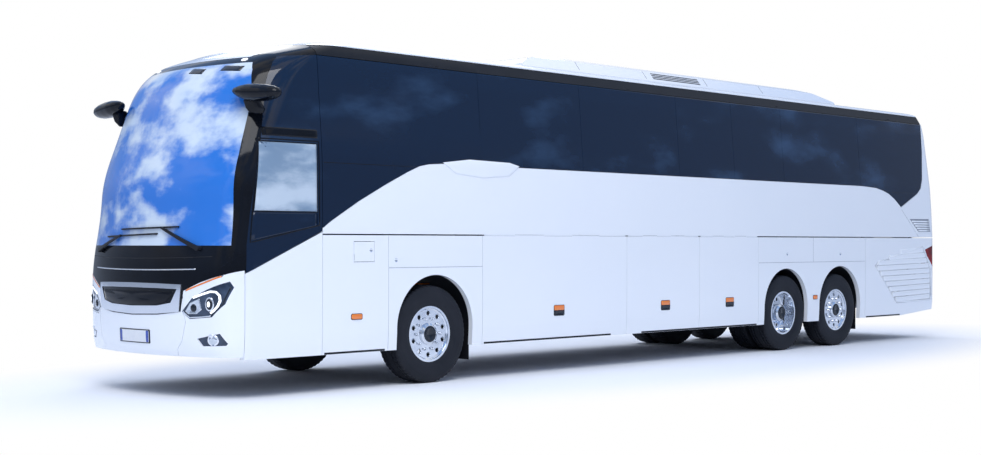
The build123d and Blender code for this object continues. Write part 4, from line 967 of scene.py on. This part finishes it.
@dataclass
class FrontFace:
    """Chrome lines, badge panel, lamps and number plate of the front; the lamps' lines are for the left side."""

    trim: Trim
    projector: Point = (1.042, 0.913, 0.046)
    fog: Point = (1.056, 0.571, 0.046)
    panel: Outline = ((-0.60, 0.99), (-0.52, 0.925), (-0.3, 0.892), (0.0, 0.884), (0.3, 0.892), (0.52, 0.925),
                      (0.60, 0.99), (0.62, 1.028), (0.3, 1.034), (0.0, 1.035), (-0.3, 1.034), (-0.62, 1.028))
    bowl: Outline = ((0.765, 0.842), (0.825, 0.925), (0.93, 0.965), (0.955, 0.86), (0.90, 0.818), (0.80, 0.815))
    day_light: Outline = ((0.86, 0.972), (0.96, 1.006), (1.05, 1.033), (1.105, 1.030), (1.135, 0.995), (1.138, 0.945),
                          (1.118, 0.895), (1.085, 0.855), (1.05, 0.828))
    foot: Outline = ((0.735, 0.838), (0.82, 0.783), (0.94, 0.791), (1.05, 0.803))
    turn: Outline = ((0.775, 1.040), (0.90, 1.085), (1.04, 1.136), (1.145, 1.178))
    shade: Outline = ((0.76, 0.838), (0.82, 0.788), (1.06, 0.808), (1.16, 0.92), (1.21, 1.075))
    dip_eye: Spot = (0.865, 0.875)
    screen_shades: tuple[Outline, ...] = (((0.14, 3.225), (0.36, 3.205)), ((0.60, 3.225), (0.86, 3.205)))
    roof_marker: float = 0.758
    roof_marker_half: float = 0.03
    roof_marker_span: Spot = (3.296, 3.318)

    @staticmethod
    def arc(half: float, count: int, height: float, sag: float) -> list[Spot]:
        """Line from one side to the other that hangs by the sag in its middle."""
        step = 2 * half / (count - 1)
        line = [round(-half + step * i, 10) for i in range(count)]
        return [(u, height - sag * (1 - (u / half) ** 2)) for u in line]

    def chrome(self) -> None:
        """Bright line and badge panel on the black mask."""
        self.trim.ribbon("mask_line", self.arc(0.88, 45, 1.245, 0.012), 0.010, 0.003, CHROME, "chrome_trim")
        self.trim.dome("badge_panel", self.panel, ((1.0, 0.001), (0.985, 0.006), (0.95, 0.007), (0.5, 0.009)), BLACK,
                       "black_gloss", step=0.04)

    def lamps(self) -> None:
        """Headlamp inside, day light, turn strip and fog lamp on both sides."""
        dome = partial(self.trim.dome, slot="lamp", step=FINE_STEP)
        strip = partial(self.trim.ribbon, slot="lamp")
        for side in Side:
            s, tag = float(side.value), side.word
            u, z, r = self.projector
            dome(f"lamp_ring_{tag}", disc(s * u, z, r, r * 1.5), ((1.0, 0.002), (0.95, 0.008), (0.84, 0.008)), CHROME)
            dome(f"lamp_eye_{tag}", disc(s * u, z, r * 0.78, r * 1.2),
                 ((1.0, 0.006), (0.9, 0.012), (0.6, 0.019), (0.3, 0.022)), BEZEL)
            dome(f"lamp_pupil_{tag}", disc(s * u, z, r * 0.36, r * 0.62), ((1.0, 0.019), (0.8, 0.023), (0.4, 0.024)),
                 BRIGHT)
            dome(f"dip_bowl_{tag}", [(s * x, h) for x, h in self.bowl],
                 ((1.0, 0.0006), (0.96, 0.004), (0.9, 0.004), (0.5, 0.002)), GLASS_DOME)
            u, z = self.dip_eye
            dome(f"dip_eye_{tag}", disc(s * u, z, 0.034, 0.038), ((1.0, 0.003), (0.9, 0.009), (0.5, 0.014)), BEZEL)
            for label, line, width, proud, finish, step in (
                ("day_light", self.day_light, 0.020, 0.005, BRIGHT, 0.012),
                ("lamp_foot", self.foot, 0.013, 0.004, CHROME, 0.012),
                ("turn_strip", self.turn, 0.015, 0.003, AMBER, 0.02),
                ("lamp_shade", self.shade, 0.010, 0.003, BEZEL, 0.02),
            ):
                strip(f"{label}_{tag}", [(s * x, h) for x, h in line], width, proud, finish, step=step)
            u, z, r = self.fog
            dome(f"fog_ring_{tag}", disc(s * u, z, r + 0.010), ((1.0, 0.001), (0.95, 0.008), (0.88, 0.008)), CHROME)
            dome(f"fog_eye_{tag}", disc(s * u, z, r), ((1.0, 0.004), (0.9, 0.009), (0.5, 0.013)), GLASS_DOME)

    def plate(self) -> None:
        """Blank number plate with plain end bands."""
        dome = self.trim.dome
        dome("plate_holder", slab(-0.245, 0.285, 0.515, 0.650, 0.008), HOLDER, PLASTIC, "black_plastic")
        dome("plate_face", slab(-0.23, 0.27, 0.525, 0.640, 0.008), PLATE_FACE, PLATE, "white_paint")
        for name, a, b in (("plate_band_a", -0.228, -0.188), ("plate_band_b", 0.228, 0.268)):
            dome(name, slab(a, b, 0.527, 0.638, 0.006), ((1.0, 0.0087), (0.97, 0.0093), (0.8, 0.0093)), BLUE,
                 "white_paint")

    def build(self) -> None:
        """Adds the whole front."""
        self.chrome()
        self.lamps()
        self.plate()
        self.trim.ribbon("cowl_seam", self.arc(1.05, 31, 1.365, 0.02), 0.006, 0.0012, SEAM, "black_gloss")
        for number, line in enumerate(self.screen_shades):
            self.trim.ribbon(f"screen_shade_{number}", line, 0.055, 0.004, BEZEL, "black_gloss")
        half = self.roof_marker_half
        for side in Side:
            middle = side.value * self.roof_marker
            outline = slab(middle - half, middle + half, *self.roof_marker_span, 0.006)
            self.trim.dome(f"roof_marker_{side.word}", outline, ((1.0, 0.002), (0.9, 0.009), (0.5, 0.012)), BRIGHT,
                           "lamp")


@dataclass
class TailFace:
    """Lamps, handle, louvres and blank plate of the rear, as such coaches have them."""

    trim: Trim
    lenses: tuple[tuple[float, Finish, float], ...] = (
        (1.415, GLASS_DOME, 0.045), (1.31, AMBER, 0.045), (1.195, RED_LENS, 0.05), (1.09, RED_LENS, 0.035),
    )
    lens_x: float = 1.065
    reflector: Spot = (0.80, 0.56)
    louvre_half: float = 0.62
    louvre_low: float = 1.06
    louvre_pitch: float = 0.045
    louvre_count: int = 9

    def build(self) -> None:
        """Adds the rear pieces."""
        dome = self.trim.dome
        for side in Side:
            s, tag = float(side.value), side.word
            for number, (z, finish, tall) in enumerate(self.lenses):
                dome(f"tail_lens_{tag}_{number}", disc(s * self.lens_x, z, 0.052, tall),
                     ((1.0, 0.001), (0.93, 0.007), (0.5, 0.011)), finish, "tail_lamp", step=0.012)
            u, z = self.reflector
            dome(f"reflector_{tag}", disc(s * u, z, 0.04), ((1.0, 0.001), (0.9, 0.005), (0.5, 0.006)), RED_LENS,
                 "tail_lamp", step=0.012)
        on_door = partial(dome, body="engine_door")
        on_door("rear_plate_holder", slab(-0.27, 0.27, 0.735, 0.865, 0.01), HOLDER, PLASTIC, "black_plastic")
        on_door("rear_plate_face", slab(-0.26, 0.26, 0.745, 0.855, 0.01), PLATE_FACE, PLATE, "white_paint")
        on_door("engine_handle", slab(-0.09, 0.09, 0.93, 0.965, 0.012), ((1.0, 0.001), (0.95, 0.006), (0.6, 0.009)),
                PLASTIC, "black_plastic")
        for number in range(self.louvre_count):
            z = self.louvre_low + number * self.louvre_pitch
            self.trim.ribbon(f"engine_louvre_{number}", ((-self.louvre_half, z), (self.louvre_half, z)), 0.018, 0.007,
                             SEAM, "black_plastic", "engine_door", step=0.3)


@dataclass
class CameraWing:
    """Smooth pod on each side of the windscreen top; each row is (x, station, z, half depth, half height)."""

    make: Maker
    spine: tuple[tuple[float, ...], ...] = (
        (0.985, 0.500, 2.965, 0.008, 0.006), (1.000, 0.502, 2.962, 0.030, 0.022), (1.040, 0.507, 2.955, 0.058, 0.042),
        (1.110, 0.516, 2.945, 0.088, 0.064), (1.200, 0.528, 2.935, 0.105, 0.081), (1.330, 0.545, 2.925, 0.107, 0.087),
        (1.450, 0.556, 2.918, 0.098, 0.080), (1.535, 0.562, 2.914, 0.080, 0.064), (1.585, 0.566, 2.912, 0.056, 0.045),
        (1.607, 0.568, 2.911, 0.030, 0.024), (1.613, 0.568, 2.911, 0.008, 0.006),
    )
    foot: tuple[tuple[float, ...], ...] = (
        (1.165, 0.575, 2.905, 0.080, 0.050), (1.165, 0.595, 2.850, 0.100, 0.052), (1.165, 0.630, 2.790, 0.112, 0.046),
        (1.160, 0.655, 2.740, 0.085, 0.028),
    )
    eyes: tuple[Spot, ...] = ((1.40, 0.648), (1.47, 0.645))
    eye_radius: float = 0.019
    eye_length: float = 0.012
    eye_heights: Spot = (2.90, 2.896)
    around: int = 28
    between: int = 4

    def build(self) -> None:
        """Makes both pods in place of the plain ones."""
        for side in Side:
            s = float(side.value)
            for label, rows in (("pod", self.spine), ("foot", self.foot)):
                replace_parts(self.loft(f"camera_{label}_{side.word}", rows, s), "camera_wings")
            for number, (x, station) in enumerate(self.eyes):
                ends = zip((station, station + self.eye_length), self.eye_heights)
                line = [(s * x, along(place), z) for place, z in ends]
                self.make.tube(f"camera_eye_{side.word}_{number}", line, self.eye_radius, GLASS_DOME, "black_gloss")

    def loft(self, name: str, rows: Sequence[Sequence[float]], s: float) -> Item:
        """Smooth skin through oval sections that stand across the line from the first row to the last."""
        way = Vector((rows[-1][0] - rows[0][0], 0.0, rows[-1][2] - rows[0][2])).normalized()
        up = Vector((-way.z, 0.0, way.x))
        sections = [[a + (b - a) * (k / self.between) for a, b in zip(row, after)]
                    for row, after in zip(rows, rows[1:]) for k in range(self.between)] + [list(rows[-1])]
        verts = [point for row in sections for point in self.ring(row, up, s)]
        return self.make.add(name, verts, quads(len(sections), self.around, caps=True), BLACK, "black_gloss",
                             smooth=True)

    def ring(self, row: Sequence[float], up: Vector, s: float) -> list[Point]:
        """One oval section of the pod."""
        x, station, z, deep, tall = row
        out: list[Point] = []
        for k in range(self.around):
            angle = TURN * k / self.around
            p = Vector((x, along(station), z)) + up * (tall * math.sin(angle))
            p += Vector((0.0, deep * math.cos(angle), 0.0))
            out.append((s * p.x, p.y, p.z))
        return out


@dataclass
class Bench:
    """Cushions and backs of the seats, in place of the plain blocks."""

    make: Maker
    pitch: float = 0.79
    rows: int = 13
    first: float = 2.48
    width: float = 0.836
    driver_width: float = 0.52
    driver_place: tuple[float, float] = (0.6, 1.56)
    seat_x: float = 0.74
    cabin_floor: float = 1.36
    driver_floor: float = 0.93
    door_gap: tuple[float, float] = (7.2, 8.9)
    back_lean: float = 0.262
    swell: float = 0.012
    pressure: float = 4.0
    stiffness: float = 15.0
    last_frame: int = 20
    grain_of_pad: tuple[int, int, int] = (14, 10, 8)
    blanks: dict[str, bpy.types.Mesh] = field(default_factory=dict)

    def blank(self, name: str, size: Point) -> bpy.types.Mesh:
        """Crowned closed pad whose sides pull in between its corners, before it is filled."""
        wx, wy, wz = size
        nx, ny, nz = counts = self.grain_of_pad
        work = bmesh.new()
        grid: dict[tuple[int, ...], bmesh.types.BMVert] = {}
        for i in range(nx + 1):
            for j in range(ny + 1):
                for k in range(nz + 1):
                    if 0 < i < nx and 0 < j < ny and 0 < k < nz:
                        continue
                    u, v, w = 2 * i / nx - 1, 2 * j / ny - 1, 2 * k / nz - 1
                    px = (wx / 2 - self.swell) * self.soft(u, v, w)
                    py = (wy / 2 - self.swell) * self.soft(v, u, w)
                    pz = (wz / 2 - self.swell) * self.soft(w, u, v)
                    grid[i, j, k] = work.verts.new((px, py, pz + wz / 2))
        for axis in range(3):
            a, b = [n for n in range(3) if n != axis]
            for end in (0, counts[axis]):
                for p in range(counts[a]):
                    for q in range(counts[b]):
                        corners = []
                        for dp, dq in ((0, 0), (1, 0), (1, 1), (0, 1)):
                            key = [0, 0, 0]
                            key[axis], key[a], key[b] = end, p + dp, q + dq
                            corners.append(grid[tuple(key)])
                        work.faces.new(corners)
        bmesh.ops.recalc_face_normals(work, faces=work.faces)
        mesh = bpy.data.meshes.new(name)
        work.to_mesh(mesh)
        work.free()
        return mesh

    def fill(self, name: str, mesh: bpy.types.Mesh) -> None:
        """Swells a blank by cloth pressure, up to a limit, and keeps the result in the mesh."""
        item = put(name, mesh)
        cloth = item.modifiers.new("fill", "CLOTH")
        cloth.settings.use_pressure = True
        cloth.settings.uniform_pressure_force = self.pressure
        cloth.settings.effector_weights.gravity = 0.0
        cloth.settings.mass = 0.3
        cloth.settings.tension_stiffness = self.stiffness
        cloth.settings.compression_stiffness = self.stiffness
        scene = bpy.context.scene
        for frame in range(1, self.last_frame + 1):
            scene.frame_set(frame)
        seen = item.evaluated_get(bpy.context.evaluated_depsgraph_get()).data
        moved = [v.co.copy() for v in seen.vertices]
        for vert, place in zip(mesh.vertices, moved):
            step = place - vert.co
            if step.length > self.swell:
                step *= self.swell / step.length
            vert.co += step
        bpy.data.objects.remove(item)
        scene.frame_set(1)

    def pad(self, name: str, blank: bpy.types.Mesh, place: Point, lean: float) -> Item:
        """One pad at its place, leaning back by the given metres per metre of height."""
        mesh = blank.copy()
        for vert in mesh.vertices:
            x, y, z = vert.co
            vert.co = (place[0] + x, place[1] + y + lean * z, place[2] + z)
        for face in mesh.polygons:
            face.use_smooth = True
        item = put(name, mesh)
        mesh.materials.append(CLOTH.make())
        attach(item, "coach")
        return item

    @staticmethod
    def soft(main: float, a: float, b: float) -> float:
        """Pulls an edge in near the corners of the other two directions."""
        return main * (1.0 - 0.045 * (a ** 4 + b ** 4) + 0.02 * (1 - a * a) * (1 - b * b))

    def place_seat(self, tag: str, x: float, station: float, width: float, level: float) -> None:
        """One bench of one or two places: base, cushions, backs and head pads."""
        y = along(station)
        base = self.make.box(f"seat_base_{tag}", (x - width / 2 + 0.07, y - 0.17, level + 0.001),
                             (x + width / 2 - 0.07, y + 0.13, level + 0.325), GREY, "seat", 0.02)
        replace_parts(base, "seats")
        places = 2 if width > self.driver_width else 1
        each = width / places
        for n in range(places):
            px = x - width / 2 + each * (n + 0.5)
            for label, dy, dz, lean in (("cushion", -0.03, 0.331, 0.0), ("back", 0.18, 0.442, self.back_lean),
                                        ("head", 0.314, 0.952, self.back_lean)):
                pad = self.pad(f"seat_{label}_{tag}_{n}", self.blank_for(label, each), (px, y + dy, level + dz), lean)
                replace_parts(pad, "seats")

    def blank_for(self, label: str, each: float) -> bpy.types.Mesh:
        """Filled pad of one kind and width, made once."""
        key = f"pad_{label}_{int(each * 1000)}"
        if key not in self.blanks:
            size = {"cushion": (each - 0.012, 0.455, 0.108), "back": (each - 0.016, 0.088, 0.50),
                    "head": (each - 0.12, 0.080, 0.17)}[label]
            mesh = self.blank(key, size)
            self.fill(key, mesh)
            self.blanks[key] = mesh
        return self.blanks[key]

    def build(self) -> None:
        """Makes every seat of the coach."""
        self.place_seat("driver", *self.driver_place, self.driver_width, self.driver_floor)
        for row in range(self.rows):
            station = self.first + row * self.pitch
            self.place_seat(f"left_{row}", self.seat_x, station, self.width, self.cabin_floor)
            if not self.door_gap[0] < station < self.door_gap[1]:
                self.place_seat(f"right_{row}", -self.seat_x, station, self.width, self.cabin_floor)


@dataclass
class RoofUnit:
    """Seams and intake louvres along both sides of the unit on the roof."""

    trims: dict[Look, Trim]
    stations: tuple[float, ...] = (5.6, 6.9, 8.2, 9.5)
    seam_span: Spot = (3.585, 3.69)
    louvre_span: Spot = (7.05, 8.05)
    louvre_low: float = 3.60
    louvre_pitch: float = 0.022
    louvre_count: int = 4

    def build(self) -> None:
        """Adds the seams and the louvres."""
        (low, high), (start, end) = self.seam_span, self.louvre_span
        for side, look in ((Side.LEFT, Look.LEFT), (Side.RIGHT, Look.RIGHT)):
            strip = partial(self.trims[look].ribbon, finish=SEAM, slot="black_plastic")
            for number, station in enumerate(self.stations):
                strip(f"unit_seam_{side.word}_{number}", ((station, low), (station, high)), 0.006, 0.001, step=0.02)
            for number in range(self.louvre_count):
                z = self.louvre_low + number * self.louvre_pitch
                strip(f"unit_louvre_{side.word}_{number}", ((start, z), (end, z)), 0.010, 0.004, step=0.2)


class Coach:
    """The dressed coach as a whole."""

    wheel_x: float = 1.086
    twin_spacing: float = 0.34
    bare_nodes: tuple[str, ...] = (
        "windscreen", "nose_frame", "front_mask", "front_trim", "bumpers", "front_lamps", "side_glass", "side_frames",
        "belt_panels", "skirts", "fuel_flap", "tail_lamps", "engine_grilles", "engine_door", "tail_shell", "roof",
        "luggage_flap_left_1", "luggage_flap_left_2", "luggage_flap_left_3", "luggage_flap_right_1",
        "luggage_flap_right_2", "front_door_leaf", "middle_door_leaf", "roof_unit",
    )
    left_handles = ((4.809, "luggage_flap_left_1"), (6.821, "luggage_flap_left_2"), (8.208, "luggage_flap_left_3"))
    right_handles = ((4.809, "luggage_flap_right_1"), (6.821, "luggage_flap_right_2"))
    left_seams = (((2.25, 1.237), (3.625, 1.237)), ((8.972, 1.225), (11.752, 1.225)), ((10.333, 1.228), (10.333, 1.57)),
                  ((12.85, 2.01), (13.375, 1.592)))
    right_seams = (((2.25, 1.237), (3.625, 1.237)), ((8.612, 1.225), (11.752, 1.225)),
                   ((10.333, 1.228), (10.333, 1.57)))
    left_sills = ((1.40, 2.20), (3.66, 8.93), (11.80, 12.80))
    right_sills = ((1.40, 2.20), (3.66, 7.60), (11.80, 12.80))

    def __init__(self, frame: dict) -> None:
        """Keeps the frame and lays out the tools for trim."""
        self.nodes: dict[str, Item] = frame["nodes"]
        self.make = Maker()
        skin = Skin(self.nodes, [name for name in self.bare_nodes if name in self.nodes])
        self.trims = {look: Trim(self.make, skin, look) for look in Look}

    def wheels(self) -> list[Wheel]:
        """All the wheels; the drive axle's are twins with a deep rim."""
        out: list[Wheel] = []
        for side in Side:
            x, word = side.value * self.wheel_x, side.word
            for axle in ("front", "tag"):
                node = f"{axle}_tyre_{word}"
                out.append(Wheel(f"{axle}_{word}", f"{axle}_wheel_{word}", side, self.axle_y(node), node, (x,)))
            node = f"drive_tyres_{word}"
            inner = side.value * (self.wheel_x - self.twin_spacing)
            out.append(Wheel(f"drive_{word}", f"drive_wheels_{word}", side, self.axle_y(node), node, (x, inner),
                             disc=-0.07, cap_span=(0.099, 0.112)))
        return out

    @staticmethod
    def axle_y(node: str) -> float:
        """Place of an axle along the coach."""
        low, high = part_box(node)
        return (low[1] + high[1]) / 2

    def build(self) -> None:
        """Dresses each sub-assembly in order."""
        paint(self.nodes)
        LOG.info("paint on %d parts", len(self.nodes))
        for wheel in self.wheels():
            wheel.build(self.make)
            LOG.info("wheel %s", wheel.name)
        LeftSide(Side.LEFT, self.trims[Look.LEFT], self.left_handles, self.left_seams, self.left_sills).build()
        RightSide(Side.RIGHT, self.trims[Look.RIGHT], self.right_handles, self.right_seams, self.right_sills).build()
        LOG.info("side trim")
        FrontFace(self.trims[Look.FRONT]).build()
        TailFace(self.trims[Look.REAR]).build()
        LOG.info("front and tail")
        CameraWing(self.make).build()
        Bench(self.make).build()
        RoofUnit(self.trims).build()
        LOG.info("pods, seats and roof unit")


def main() -> None:
    """Builds the studio and the coach."""
    logging.basicConfig(level=logging.INFO, format="%(message)s")
    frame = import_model()
    Studio().build()
    Coach(frame).build()
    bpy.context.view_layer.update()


if __name__ == "__main__":
    main()
